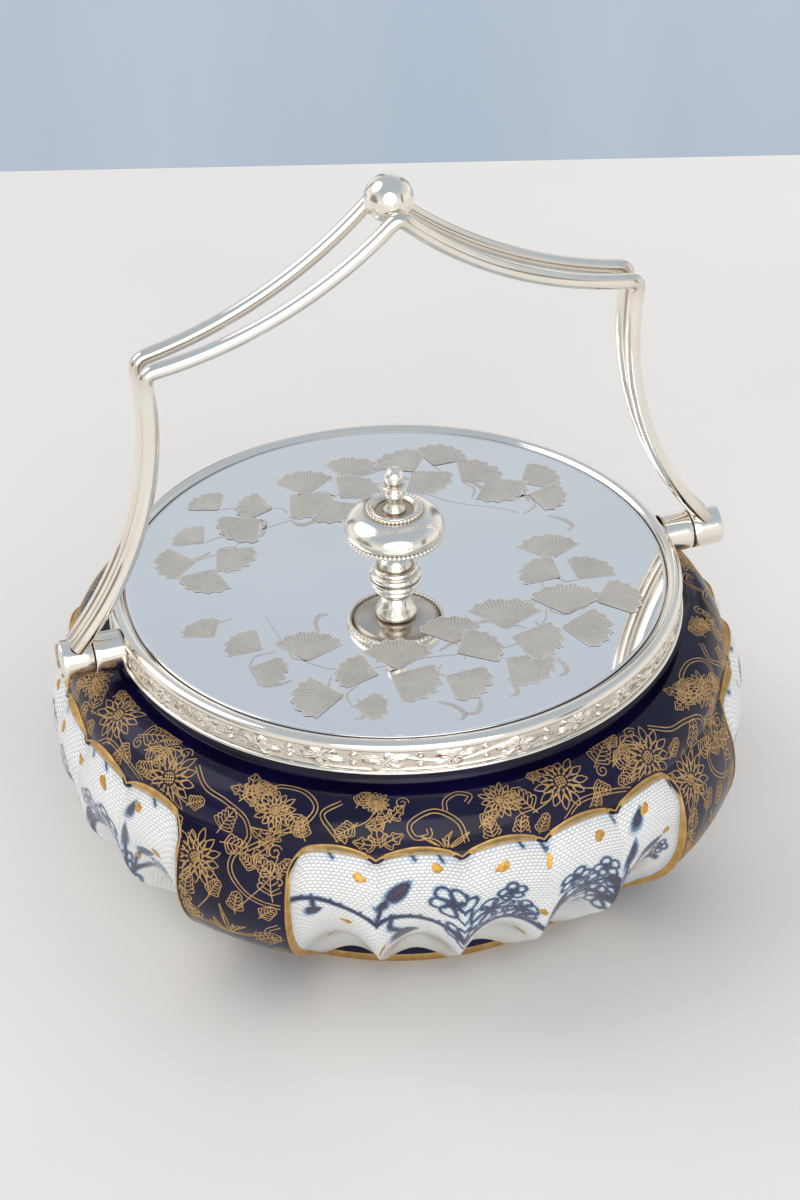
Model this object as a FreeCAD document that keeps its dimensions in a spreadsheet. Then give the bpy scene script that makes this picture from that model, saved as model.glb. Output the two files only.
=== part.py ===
import FreeCAD, Part
import math
import os

# A squat porcelain biscuit jar with a silver plated collar, a flat polished lid and a
# double rod bail handle. Millimetres, +Z up, origin at the centre of the foot on the
# table. X runs along the handle's pivot axis, and -Y is the front.

doc = FreeCAD.newDocument("biscuit_jar")
dims = doc.addObject("Spreadsheet::Sheet", "dims")

DRIVING = {
    # bowl
    "foot_radius": 58.0,
    "foot_inner": 53.0,
    "foot_rise": 2.9,
    "foot_recess": 3.0,
    "under_radius": 60.6,
    "belly_radius": 86.1,
    "belly_level": 34.0,
    "upper_arc": 32.5,
    "lower_arc": 23.6,
    "lower_turn": 50.0,
    "crease_level": 51.2,
    "roll_arc": 10.0,
    "ledge_radius": 70.8,
    "ledge_level": 62.0,
    "neck_radius": 68.0,
    "neck_inner": 64.0,
    "neck_top": 70.2,
    "cavity_radius": 76.0,
    "cavity_level": 40.0,
    "cavity_shoulder": 60.0,
    "cavity_upper_arc": 30.0,
    "cavity_arc": 26.0,
    "cavity_heel_radius": 69.1,
    "cavity_heel_level": 22.3,
    "floor_radius": 52.0,
    "floor_level": 9.0,
    # relief panels
    "panel_span": 70.0,
    "panel_turn": -1.7,
    "panel_lobes": 5,
    "panel_foot": 4.5,
    "panel_top": 49.8,
    "lobe_rise": 3.2,
    "lift_upper": 4.5,
    "lift_lower": 8.0,
    "sink_edge": 0.3,
    "sink_middle": 1.4,
    "window_top": 49.5,
    # collar
    "collar_radius": 69.8,
    "collar_gauge": 0.9,
    "band_foot": 66.8,
    "band_top": 72.2,
    "wire_radius": 0.6,
    "seat_inner": 62.5,
    "seat_level": 71.0,
    "bead_inner": 66.2,
    "bead_edge": 73.0,
    "bead_lip": 73.6,
    "bead_arc": 2.1,
    # handle mounts and handle
    "pivot_level": 69.4,
    "barrel_radius": 4.9,
    "lug_end": 77.0,
    "barrel_start": 77.3,
    "barrel_end": 84.9,
    "disc_start": 84.1,
    "head_start": 83.2,
    "pin_radius": 1.6,
    "pin_head_radius": 2.8,
    "pin_start": 72.0,
    "press_clearance": 0.02,
    "bore_clearance": 0.05,
    "disc_radius": 4.1,
    "rod_radius": 1.9,
    "arm_foot_x": 81.0,
    "arm_foot_y": 2.0,
    "arm_foot_z": 73.0,
    "arm_mid_x": 62.2,
    "arm_mid_z": 110.6,
    "corner_x": 61.0,
    "corner_y": 3.4,
    "corner_z": 145.8,
    "arch_mid_x": 32.8,
    "arch_mid_y": 5.2,
    "arch_mid_z": 154.0,
    "peak_y": 7.0,
    "peak_z": 176.6,
    "ball_radius": 5.8,
    "ball_z": 178.0,
    # lid
    "lid_radius": 65.8,
    "lid_top": 73.9,
    "ring_outer": 61.8,
    "ring_inner": 60.0,
    "ring_foot": 68.2,
    "stud_radius": 1.5,
    "stud_foot": 67.0,
    "stud_reach": 21.0,
    "washer_radius": 4.5,
    "washer_gauge": 0.8,
    "nut_radius": 3.2,
    "nut_height": 2.6,
    # finial, heights above the lid
    "foot_bead_radius": 6.2,
    "foot_bead_top": 5.2,
    "foot_bead_height": 3.2,
    "foot_bead_arc": 1.9,
    "stem_foot_radius": 4.3,
    "stem_top_radius": 5.2,
    "stem_height": 11.0,
    "stem_arc": 6.0,
    "cap_under_radius": 10.4,
    "cap_under_height": 11.9,
    "bead_ring_radius": 11.9,
    "bead_ring_height": 13.0,
    "bead_ring_arc": 0.6,
    "cap_radius": 12.2,
    "cap_edge_height": 14.4,
    "cap_dome_arc": 8.5,
    "cap_flat_radius": 7.2,
    "cap_top_height": 19.2,
    "dish_outer": 7.0,
    "dish_inner": 4.6,
    "dish_height": 20.0,
    "dish_arc": 1.3,
    "knop_foot_radius": 2.9,
    "knop_bore_height": 21.2,
    "knop_waist_radius": 1.9,
    "knop_waist_height": 22.6,
    "knop_foot_arc": 4.0,
    "knop_neck_radius": 1.5,
    "knop_flange_radius": 2.9,
    "knop_flange_height": 25.8,
    "knop_flange_gauge": 0.6,
    "knop_ball_radius": 2.45,
    "knop_ball_height": 28.6,
}

for row, (alias, value) in enumerate(DRIVING.items(), start=1):
    dims.set("A%d" % row, alias)
    dims.set("B%d" % row, str(value))
    dims.setAlias("B%d" % row, alias)
doc.recompute()


def size(expression):
    """The value of an expression on the driving dimensions."""
    return float(dims.evalExpression(expression))


def driven(names):
    """The driving dimensions of those names, as plain numbers."""
    return [size("dims." + name) for name in names.split()]


def bind(item, **expressions):
    for name, expression in expressions.items():
        item.setExpression(name, expression)


def placed(item, x="0", y="0", z="0"):
    """Ties an object's place to the driving dimensions."""
    for axis, expression in zip("xyz", (x, y, z)):
        item.setExpression("Placement.Base." + axis, expression)
    return item


def origin_part(body, role):
    return [part for part in body.Origin.OriginFeatures if part.Role == role][0]


def arc_between(start, end, radius):
    """The shorter arc of that radius, turning left from start to end if radius > 0."""
    middle = (start + end) * 0.5
    chord = end - start
    half = chord.Length / 2
    across = FreeCAD.Vector(-chord.y, chord.x, 0)
    across.normalize()
    reach = math.sqrt(max(radius * radius - half * half, 0.0))
    centre = middle + across * math.copysign(reach, radius)
    first = math.atan2(start.y - centre.y, start.x - centre.x)
    last = math.atan2(end.y - centre.y, end.x - centre.x)
    if radius < 0:
        first, last = last, first
    circle = Part.Circle(centre, FreeCAD.Vector(0, 0, 1), abs(radius))
    return Part.ArcOfCircle(circle, first, last)


def turned(label, outline):
    """A body turned about the vertical axis. The outline runs round the half section:
    each entry is (radius, height), or (radius, height, arc) where the stretch that
    follows is an arc, left-turning if the arc is positive. All are expressions."""
    body = doc.addObject("PartDesign::Body", label)
    body.Label = label
    sketch = body.newObject("Sketcher::SketchObject", label + "_section")
    sketch.AttachmentSupport = [(origin_part(body, "XZ_Plane"), "")]
    sketch.MapMode = "FlatFace"
    places = [FreeCAD.Vector(size(entry[0]), size(entry[1]), 0) for entry in outline]
    count = len(outline)
    ends = []
    for index, entry in enumerate(outline):
        start, end = places[index], places[(index + 1) % count]
        if len(entry) == 3:
            bend = size(entry[2])
            sketch.addGeometry(arc_between(start, end, bend), False)
            ends.append((1, 2) if bend > 0 else (2, 1))
        else:
            sketch.addGeometry(Part.LineSegment(start, end), False)
            ends.append((1, 2))
    for index in range(count):
        following = (index + 1) % count
        sketch.addConstraint(Sketcher.Constraint(
            "Coincident", index, ends[index][1], following, ends[following][0]))
    for index, entry in enumerate(outline):
        point = ends[index][0]
        for kind, value, expression in (
                ("DistanceX", places[index].x, entry[0]),
                ("DistanceY", places[index].y, entry[1])):
            number = sketch.addConstraint(
                Sketcher.Constraint(kind, -1, 1, index, point, value))
            sketch.setExpression("Constraints[%d]" % number, expression)
        if len(entry) == 3:
            bend = size(entry[2])
            number = sketch.addConstraint(
                Sketcher.Constraint("Radius", index, abs(bend)))
            sketch.setExpression("Constraints[%d]" % number, "abs(%s)" % entry[2])
    turn = body.newObject("PartDesign::Revolution", label + "_turn")
    turn.Profile = sketch
    turn.ReferenceAxis = (sketch, ["V_Axis"])
    turn.Angle = 360.0
    body.Tip = turn
    return body



def crosswise(label, radius, start, end, side):
    """A cylinder along the pivot axis, on the right (side 1) or the left (side -1)."""
    cylinder = doc.addObject("Part::Cylinder", label)
    cylinder.Label = label
    cylinder.Placement.Rotation = FreeCAD.Rotation(FreeCAD.Vector(0, 1, 0), 90 * side)
    bind(cylinder, Radius=radius, Height="%s - %s" % (end, start))
    placed(cylinder, x="%d * (%s)" % (side, start), z="dims.pivot_level")
    return cylinder


def joined(label, pieces):
    fusion = doc.addObject("Part::MultiFuse", label)
    fusion.Label = label
    fusion.Shapes = pieces
    return fusion


def cut(label, base, tool):
    difference = doc.addObject("Part::Cut", label)
    difference.Label = label
    difference.Base = base
    difference.Tool = tool
    return difference


def made(label, shape):
    feature = doc.addObject("Part::Feature", label)
    feature.Label = label
    feature.Shape = shape
    return feature


# Bowl: the turned wall. The belly is two arcs that meet at its widest level, the lower
# one runs on in a straight line to the foot ring, and a quarter round roll sits above
# the crease and carries the ledge and the neck.
BELLY_HEEL_RADIUS = "dims.belly_radius - dims.lower_arc * (1 - cos(dims.lower_turn))"
BELLY_HEEL_LEVEL = "dims.belly_level - dims.lower_arc * sin(dims.lower_turn)"
CREASE_RADIUS = ("dims.belly_radius - dims.upper_arc + sqrt(dims.upper_arc ^ 2"
                 " - (dims.crease_level - dims.belly_level) ^ 2)")

bowl_wall = turned("bowl_wall", [
    ("0", "dims.foot_recess"),
    ("dims.foot_inner", "dims.foot_recess"),
    ("dims.foot_inner", "0"),
    ("dims.foot_radius", "0"),
    ("dims.foot_radius", "dims.foot_rise"),
    ("dims.under_radius", "dims.foot_rise"),
    (BELLY_HEEL_RADIUS, BELLY_HEEL_LEVEL, "dims.lower_arc"),
    ("dims.belly_radius", "dims.belly_level", "dims.upper_arc"),
    (CREASE_RADIUS, "dims.crease_level", "dims.roll_arc"),
    ("dims.ledge_radius", "dims.ledge_level"),
    ("dims.neck_radius", "dims.ledge_level"),
    ("dims.neck_radius", "dims.neck_top"),
    ("dims.neck_inner", "dims.neck_top"),
    ("dims.neck_inner", "dims.cavity_shoulder", "-dims.cavity_upper_arc"),
    ("dims.cavity_radius", "dims.cavity_level", "-dims.cavity_arc"),
    ("dims.cavity_heel_radius", "dims.cavity_heel_level"),
    ("dims.floor_radius", "dims.floor_level"),
    ("0", "dims.floor_level"),
])


def smooth(value, low, high):
    """Rises from 0 at low to 1 at high with level ends."""
    share = min(max((value - low) / (high - low), 0.0), 1.0)
    return share * share * (3 - 2 * share)


def ground_radius(level):
    """Outside radius of the plain bowl between its foot and its crease."""
    widest, middle, upper, lower, turn = driven(
        "belly_radius belly_level upper_arc lower_arc lower_turn")
    if level > middle:
        return widest - upper + math.sqrt(upper ** 2 - (level - middle) ** 2)
    heel_level = middle - lower * math.sin(math.radians(turn))
    if level > heel_level:
        return widest - lower + math.sqrt(lower ** 2 - (level - middle) ** 2)
    heel_radius = widest - lower * (1 - math.cos(math.radians(turn)))
    under, rise = driven("under_radius foot_rise")
    return heel_radius + (level - heel_level) * (heel_radius - under) / (heel_level - rise)


def panel_radius(level, arch):
    """Outside radius of a panel. Each lobe lifts the bowl's own curve, so a lobe swells
    above the widest level and hollows below it. arch is 1 mid lobe and 0 at a cusp."""
    upper, lower, edge, middle = driven("lift_upper lift_lower sink_edge sink_middle")
    lift = upper + (lower - upper) * (1 - smooth(level, 30, 44))
    lift *= smooth(level, -4, 18) * smooth(level, 2.5, 5)
    sink = edge + (middle - edge) * smooth(level, 6, 16) * (1 - smooth(level, 34, 44))
    return ground_radius(level - lift * arch) - sink


# The panels are let into windows cut in the wall. These corners (radius, level) are the
# floor of a window, and a panel is set a little deeper.
WINDOW_FLOOR = [(76.6, None), (77.6, 40.0), (77.0, 32.0), (71.5, 22.3), (61.0, 13.0), (58.4, None)]
PANEL_BITE = 0.6
OUTLINE_LEVELS = 12
STEPS_PER_LOBE = 4


def half_plane_point(turn, radius, level):
    angle = math.radians(turn)
    return FreeCAD.Vector(radius * math.cos(angle), radius * math.sin(angle), level)


def window_floor(top, foot, bite):
    """The window floor's corners from the top level down to the foot."""
    corners = []
    for radius, level in WINDOW_FLOOR:
        if level is None:
            level = foot if corners else top
        corners.append((radius - bite, level))
    return corners


def window(turn):
    """The space that one panel fills, swept round its span."""
    span, top, foot = driven("panel_span window_top panel_foot")
    reach = size("dims.belly_radius") + 5
    corners = window_floor(top, foot, 0) + [(reach, foot), (reach, top)]
    points = [FreeCAD.Vector(radius, 0, level) for radius, level in corners]
    face = Part.Face(Part.makePolygon(points + points[:1]))
    axis = FreeCAD.Vector(0, 0, 1)
    face.rotate(FreeCAD.Vector(), axis, turn - span / 2)
    return face.revolve(FreeCAD.Vector(), axis, span)


def panel_section(turn, arch):
    top, rise, foot = driven("panel_top lobe_rise panel_foot")
    crown = top + rise * arch
    outside = []
    for step in range(OUTLINE_LEVELS + 1):
        level = crown + (foot - crown) * step / OUTLINE_LEVELS
        outside.append(half_plane_point(turn, panel_radius(level, arch), level))
    curve = Part.BSplineCurve()
    curve.interpolate(outside)
    inside = [half_plane_point(turn, radius, level)
              for radius, level in window_floor(crown, foot, PANEL_BITE)]
    edges = [curve.toShape()]
    corners = [outside[-1]] + inside[::-1] + [outside[0]]
    edges += [Part.makeLine(a, b) for a, b in zip(corners, corners[1:])]
    return Part.Wire(edges)


def panel(turn):
    """One relief panel: lobes side by side, each an arch between two cusps."""
    span, lobes = driven("panel_span panel_lobes")
    count = int(lobes) * STEPS_PER_LOBE
    sections = []
    for step in range(count + 1):
        across = (step % STEPS_PER_LOBE) / STEPS_PER_LOBE
        arch = 1 - (2 * across - 1) ** 2
        sections.append(panel_section(turn - span / 2 + span * step / count, arch))
    return Part.makeLoft(sections, True, True)


panel_turns = [size("dims.panel_turn") + quarter * 90 for quarter in range(4)]
windows = made("panel_windows", Part.makeCompound([window(turn) for turn in panel_turns]))
panels = made("relief_panels", Part.makeCompound([panel(turn) for turn in panel_turns]))
opened_wall = cut("opened_wall", bowl_wall, windows)
porcelain_bowl = joined("porcelain_bowl", [opened_wall, panels])

# Collar: plaster on the neck, the embossed band round it, a wire below and a rounded
# bead above, and the flat ring that the lid rests on.
BAND_INNER = "dims.collar_radius - dims.collar_gauge"
plaster_bed = turned("collar_plaster_bed", [
    ("dims.neck_radius", "dims.band_foot"),
    (BAND_INNER, "dims.band_foot"),
    (BAND_INNER, "dims.seat_level"),
    ("dims.neck_inner", "dims.seat_level"),
    ("dims.neck_inner", "dims.neck_top"),
    ("dims.neck_radius", "dims.neck_top"),
])
collar_band = turned("collar_band", [
    (BAND_INNER, "dims.band_foot"),
    ("dims.collar_radius", "dims.band_foot"),
    ("dims.collar_radius", "dims.band_top"),
    (BAND_INNER, "dims.band_top"),
])
seat_ring = turned("lid_seat_ring", [
    ("dims.seat_inner", "dims.seat_level"),
    (BAND_INNER, "dims.seat_level"),
    (BAND_INNER, "dims.band_top"),
    ("dims.seat_inner", "dims.band_top"),
])
top_bead = turned("collar_top_bead", [
    ("dims.bead_inner", "dims.band_top"),
    ("dims.collar_radius", "dims.band_top"),
    ("dims.collar_radius", "dims.bead_edge", "dims.bead_arc"),
    ("dims.bead_inner", "dims.bead_lip"),
])
bottom_wire = doc.addObject("Part::Torus", "collar_bottom_wire")
bottom_wire.Label = "collar_bottom_wire"
bind(bottom_wire, Radius1="dims.collar_radius - dims.wire_radius / 2", Radius2="dims.wire_radius")
placed(bottom_wire, z="dims.band_foot - dims.wire_radius")

collar_core = doc.addObject("Part::Cylinder", "collar_core")
bind(collar_core, Radius="dims.collar_radius", Height="dims.pivot_level")
placed(collar_core, z="dims.pivot_level / 2")


def mount_pieces(name, side):
    """The lug soldered to the collar, its riveted pin, the handle's barrel that turns on
    the pin, and the disc that closes the barrel's outer end."""
    shank = crosswise(name + "_pin_shank", "dims.pin_radius", "dims.pin_start",
                      "dims.head_start", side)
    head = crosswise(name + "_pin_head", "dims.pin_head_radius", "dims.head_start",
                     "(dims.disc_start - dims.press_clearance)", side)
    pin = joined(name + "_pivot_pin", [shank, head])
    blank = crosswise(name + "_lug_blank", "dims.barrel_radius",
                      "(dims.collar_radius - dims.barrel_radius)", "dims.lug_end", side)
    seat = crosswise(name + "_pin_seat", "dims.pin_radius + dims.press_clearance",
                     "dims.pin_start", "dims.head_start", side)
    lug_hollows = joined(name + "_lug_hollows", [collar_core, bottom_wire, seat])
    lug = cut(name + "_lug", blank, lug_hollows)
    tube = crosswise(name + "_barrel_blank", "dims.barrel_radius", "dims.barrel_start",
                     "dims.barrel_end", side)
    bore = crosswise(name + "_barrel_bore", "dims.pin_radius + dims.bore_clearance",
                     "dims.pin_start", "dims.disc_start", side)
    head_room = crosswise(name + "_head_room", "dims.pin_head_radius + 4 * dims.bore_clearance",
                          "(dims.head_start - dims.bore_clearance)", "dims.disc_start", side)
    disc_room = crosswise(name + "_disc_room", "dims.disc_radius", "dims.disc_start",
                          "(dims.barrel_end + 1)", side)
    barrel = cut(name + "_barrel", tube, joined(name + "_barrel_hollows",
                                                [bore, head_room, disc_room]))
    disc = crosswise(name + "_barrel_disc", "dims.disc_radius - dims.press_clearance",
                     "(dims.disc_start + dims.press_clearance)",
                     "(dims.barrel_end - 6 * dims.bore_clearance)", side)
    return {"lug": lug, "pin": pin, "barrel": barrel, "disc": disc, "tube": tube}


mounts = {name: mount_pieces(name, side) for name, side in (("left", -1), ("right", 1))}


# Handle: two bent rods side by side. Each arm is one arc from its barrel to the sharp
# shoulder, each half of the arch is one hollow arc from there to the peak, and the rods
# part towards the peak to hold the ball between them.
def rod_half(side, face):
    """Half of a rod: its two arcs, with a round joint at the shoulder."""
    radius = size("dims.rod_radius")
    foot_x, foot_y, foot_z, mid_x, mid_z = driven(
        "arm_foot_x arm_foot_y arm_foot_z arm_mid_x arm_mid_z")
    corner_x, corner_y, corner_z = driven("corner_x corner_y corner_z")
    arch_x, arch_y, arch_z, peak_y, peak_z = driven(
        "arch_mid_x arch_mid_y arch_mid_z peak_y peak_z")
    foot = FreeCAD.Vector(side * foot_x, face * foot_y, foot_z)
    arm_middle = FreeCAD.Vector(side * mid_x, face * (foot_y + corner_y) / 2, mid_z)
    corner = FreeCAD.Vector(side * corner_x, face * corner_y, corner_z)
    arch_middle = FreeCAD.Vector(side * arch_x, face * arch_y, arch_z)
    peak = FreeCAD.Vector(0, face * peak_y, peak_z)
    pieces = [Part.makeSphere(radius, corner)]
    for start, middle, end in ((foot, arm_middle, corner), (corner, arch_middle, peak)):
        arc = Part.Arc(start, middle, end)
        along = arc.tangent(arc.FirstParameter)[0]
        ring = Part.Wire(Part.makeCircle(radius, start, along))
        sweep = Part.Wire(arc.toShape()).makePipeShell([ring], True, False)
        pieces.append(sweep)
    return pieces


def rod(label, face):
    halves = rod_half(-1, face) + rod_half(1, face)
    peak = FreeCAD.Vector(0, face * size("dims.peak_y"), size("dims.peak_z"))
    knee = Part.makeSphere(size("dims.rod_radius"), peak)
    return made(label, knee.fuse(halves))


front_rod_blank = rod("front_rod_blank", -1)
back_rod_blank = rod("back_rod_blank", 1)
barrels_solid = joined("barrels_solid", [mounts["left"]["tube"], mounts["right"]["tube"]])
front_rod = cut("handle_front_rod", front_rod_blank, barrels_solid)
back_rod = cut("handle_back_rod", back_rod_blank, barrels_solid)
ball_blank = doc.addObject("Part::Sphere", "ball_blank")
bind(ball_blank, Radius="dims.ball_radius")
placed(ball_blank, z="dims.ball_z")
handle_ball = cut("handle_ball", ball_blank, joined("both_rods", [front_rod, back_rod]))

# Lid: a flat plate with a locating ring under it, held to its finial by one stud.
STUD_HOLE = "dims.stud_radius + dims.press_clearance"
lid_plate = turned("lid_plate", [
    (STUD_HOLE, "dims.band_top"),
    ("dims.lid_radius", "dims.band_top"),
    ("dims.lid_radius", "dims.lid_top - 6 * dims.bore_clearance"),
    ("dims.lid_radius - 6 * dims.bore_clearance", "dims.lid_top"),
    (STUD_HOLE, "dims.lid_top"),
])
locating_ring = turned("lid_locating_ring", [
    ("dims.ring_inner", "dims.ring_foot"),
    ("dims.ring_outer", "dims.ring_foot"),
    ("dims.ring_outer", "dims.band_top"),
    ("dims.ring_inner", "dims.band_top"),
])


def above(name):
    """The level of a finial height, which counts from the lid's face."""
    return "dims.lid_top + dims." + name


finial_foot = turned("finial_foot", [
    (STUD_HOLE, "dims.lid_top"),
    ("dims.foot_bead_radius", "dims.lid_top", "dims.foot_bead_arc"),
    ("dims.foot_bead_top", above("foot_bead_height")),
    (STUD_HOLE, above("foot_bead_height")),
])
finial_stem = turned("finial_stem", [
    (STUD_HOLE, above("foot_bead_height")),
    ("dims.stem_foot_radius", above("foot_bead_height"), "-dims.stem_arc"),
    ("dims.stem_top_radius", above("stem_height")),
    (STUD_HOLE, above("stem_height")),
])
finial_cap = turned("finial_cap", [
    (STUD_HOLE, above("stem_height")),
    ("dims.stem_top_radius", above("stem_height")),
    ("dims.cap_under_radius", above("cap_under_height")),
    ("dims.cap_under_radius", above("bead_ring_height")),
    ("dims.bead_ring_radius", above("bead_ring_height")),
    ("dims.cap_radius", above("cap_edge_height"), "dims.cap_dome_arc"),
    ("dims.cap_flat_radius", above("cap_top_height")),
    (STUD_HOLE, above("cap_top_height")),
])
bead_ring = turned("cap_bead_ring", [
    ("dims.cap_under_radius", above("cap_under_height")),
    ("dims.bead_ring_radius", above("cap_under_height"), "dims.bead_ring_arc"),
    ("dims.bead_ring_radius", above("bead_ring_height")),
    ("dims.cap_under_radius", above("bead_ring_height")),
])
dish_ring = turned("finial_dish_ring", [
    ("dims.dish_inner", above("cap_top_height")),
    ("dims.dish_outer", above("cap_top_height")),
    ("dims.dish_outer", above("dish_height"), "dims.dish_arc"),
    ("dims.dish_inner", above("dish_height")),
])
BALL_NECK = "dims.knop_ball_height - sqrt(dims.knop_ball_radius ^ 2 - dims.knop_neck_radius ^ 2)"
finial_knop = turned("finial_knop", [
    (STUD_HOLE, above("cap_top_height")),
    ("dims.knop_foot_radius", above("cap_top_height"), "-dims.knop_foot_arc"),
    ("dims.knop_waist_radius", above("knop_waist_height")),
    ("dims.knop_waist_radius", above("knop_flange_height")),
    ("dims.knop_flange_radius", above("knop_flange_height")),
    ("dims.knop_flange_radius", above("knop_flange_height") + " + dims.knop_flange_gauge"),
    ("dims.knop_neck_radius", above("knop_flange_height") + " + dims.knop_flange_gauge"),
    ("dims.knop_neck_radius", "dims.lid_top + " + BALL_NECK, "dims.knop_ball_radius"),
    ("dims.knop_ball_radius", above("knop_ball_height"), "dims.knop_ball_radius"),
    ("0", above("knop_ball_height") + " + dims.knop_ball_radius"),
    ("0", above("knop_bore_height")),
    (STUD_HOLE, above("knop_bore_height")),
])
stud = doc.addObject("Part::Cylinder", "finial_stud")
stud.Label = "finial_stud"
bind(stud, Radius="dims.stud_radius", Height="dims.lid_top + dims.stud_reach - dims.stud_foot")
placed(stud, z="dims.stud_foot")
washer = turned("lid_washer", [
    (STUD_HOLE, "dims.band_top - dims.washer_gauge"),
    ("dims.washer_radius", "dims.band_top - dims.washer_gauge"),
    ("dims.washer_radius", "dims.band_top"),
    (STUD_HOLE, "dims.band_top"),
])
nut_blank = doc.addObject("Part::Prism", "nut_blank")
nut_blank.Polygon = 6
bind(nut_blank, Circumradius="dims.nut_radius", Height="dims.nut_height")
placed(nut_blank, z="dims.band_top - dims.washer_gauge - dims.nut_height")
nut_bore = doc.addObject("Part::Cylinder", "nut_bore")
bind(nut_bore, Radius=STUD_HOLE, Height="dims.band_top")
lid_nut = cut("lid_nut", nut_blank, nut_bore)

doc.recompute()

PIECES = [
    porcelain_bowl, plaster_bed, collar_band, seat_ring, top_bead, bottom_wire,
    mounts["left"]["lug"], mounts["right"]["lug"], mounts["left"]["pin"], mounts["right"]["pin"],
    mounts["left"]["barrel"], mounts["right"]["barrel"],
    mounts["left"]["disc"], mounts["right"]["disc"],
    front_rod, back_rod, handle_ball,
    lid_plate, locating_ring, finial_foot, finial_stem, finial_cap, bead_ring, dish_ring,
    finial_knop, stud, washer, lid_nut,
]

for item in doc.Objects:
    if "Invalid" in item.State or "Error" in item.State:
        raise RuntimeError("%s did not build: %s" % (item.Name, item.State))
for piece in PIECES:
    if piece.Shape.isNull() or not piece.Shape.isValid() or not piece.Shape.Solids:
        raise RuntimeError("%s has no valid solid" % piece.Label)

os.makedirs("parts", exist_ok=True)
for piece in PIECES:
    piece.Shape.exportStep("parts/%s.step" % piece.Label)
    print("%-22s solids %d  volume %9.1f" % (
        piece.Label, len(piece.Shape.Solids), piece.Shape.Volume))
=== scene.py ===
import math
import bpy
import numpy as np
from mathutils import Matrix, Vector


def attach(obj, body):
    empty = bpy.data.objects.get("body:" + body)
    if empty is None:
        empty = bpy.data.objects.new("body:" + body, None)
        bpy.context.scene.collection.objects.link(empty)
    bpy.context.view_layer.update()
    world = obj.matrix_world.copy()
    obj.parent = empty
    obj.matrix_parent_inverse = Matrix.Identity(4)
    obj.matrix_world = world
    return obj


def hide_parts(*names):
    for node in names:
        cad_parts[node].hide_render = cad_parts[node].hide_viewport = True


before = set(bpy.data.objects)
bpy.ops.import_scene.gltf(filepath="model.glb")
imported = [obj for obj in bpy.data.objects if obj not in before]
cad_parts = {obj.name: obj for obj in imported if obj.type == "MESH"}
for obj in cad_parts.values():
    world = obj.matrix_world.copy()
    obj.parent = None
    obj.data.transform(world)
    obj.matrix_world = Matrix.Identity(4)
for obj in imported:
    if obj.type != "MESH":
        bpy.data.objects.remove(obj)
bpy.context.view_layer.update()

# A squat porcelain biscuit jar with a silver plated collar, lid and bail handle. Sizes
# are in millimetres and are turned into metres where a mesh is made. The jar's panels
# sit a little round from the handle's axis, which is X.
MM = 0.001


# Camera: above and to the left of the jar's front, at the photograph's angle, with the
# long lens that its flat perspective asks for.
camera_data = bpy.data.cameras.new("camera")
camera_data.lens = 115.41
camera_data.sensor_width = 36.0
camera = bpy.data.objects.new("camera", camera_data)
bpy.context.scene.collection.objects.link(camera)
camera_place = Vector((-248.03, -733.14, 601.41)) * MM
camera_looks = Vector((0.264624, 0.778902, -0.568582))
camera_roll = math.radians(-1.01)
camera.rotation_mode = "QUATERNION"
camera.rotation_quaternion = (camera_looks.to_track_quat("-Z", "Y")
                              @ Matrix.Rotation(camera_roll, 3, "Z").to_quaternion())
camera.location = camera_place
bpy.context.scene.camera = camera
bpy.context.scene.view_settings.view_transform = "Standard"


# Table and wall: a plain pale table top, with a plain blue grey wall seen beyond and
# below its far edge. They are not part of the jar.
class Wire:
    """One output of a shader node. Arithmetic on it adds Math nodes."""

    def __init__(self, finish, socket):
        self.finish = finish
        self.socket = socket

    def maths(self, operation, first, second):
        return self.finish.node("ShaderNodeMath", {"operation": operation}, {0: first, 1: second})

    def __add__(self, other):
        return self.maths("ADD", self, other)

    def __sub__(self, other):
        return self.maths("SUBTRACT", self, other)

    def __rsub__(self, other):
        return self.maths("SUBTRACT", other, self)

    def __mul__(self, other):
        return self.maths("MULTIPLY", self, other)


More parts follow.
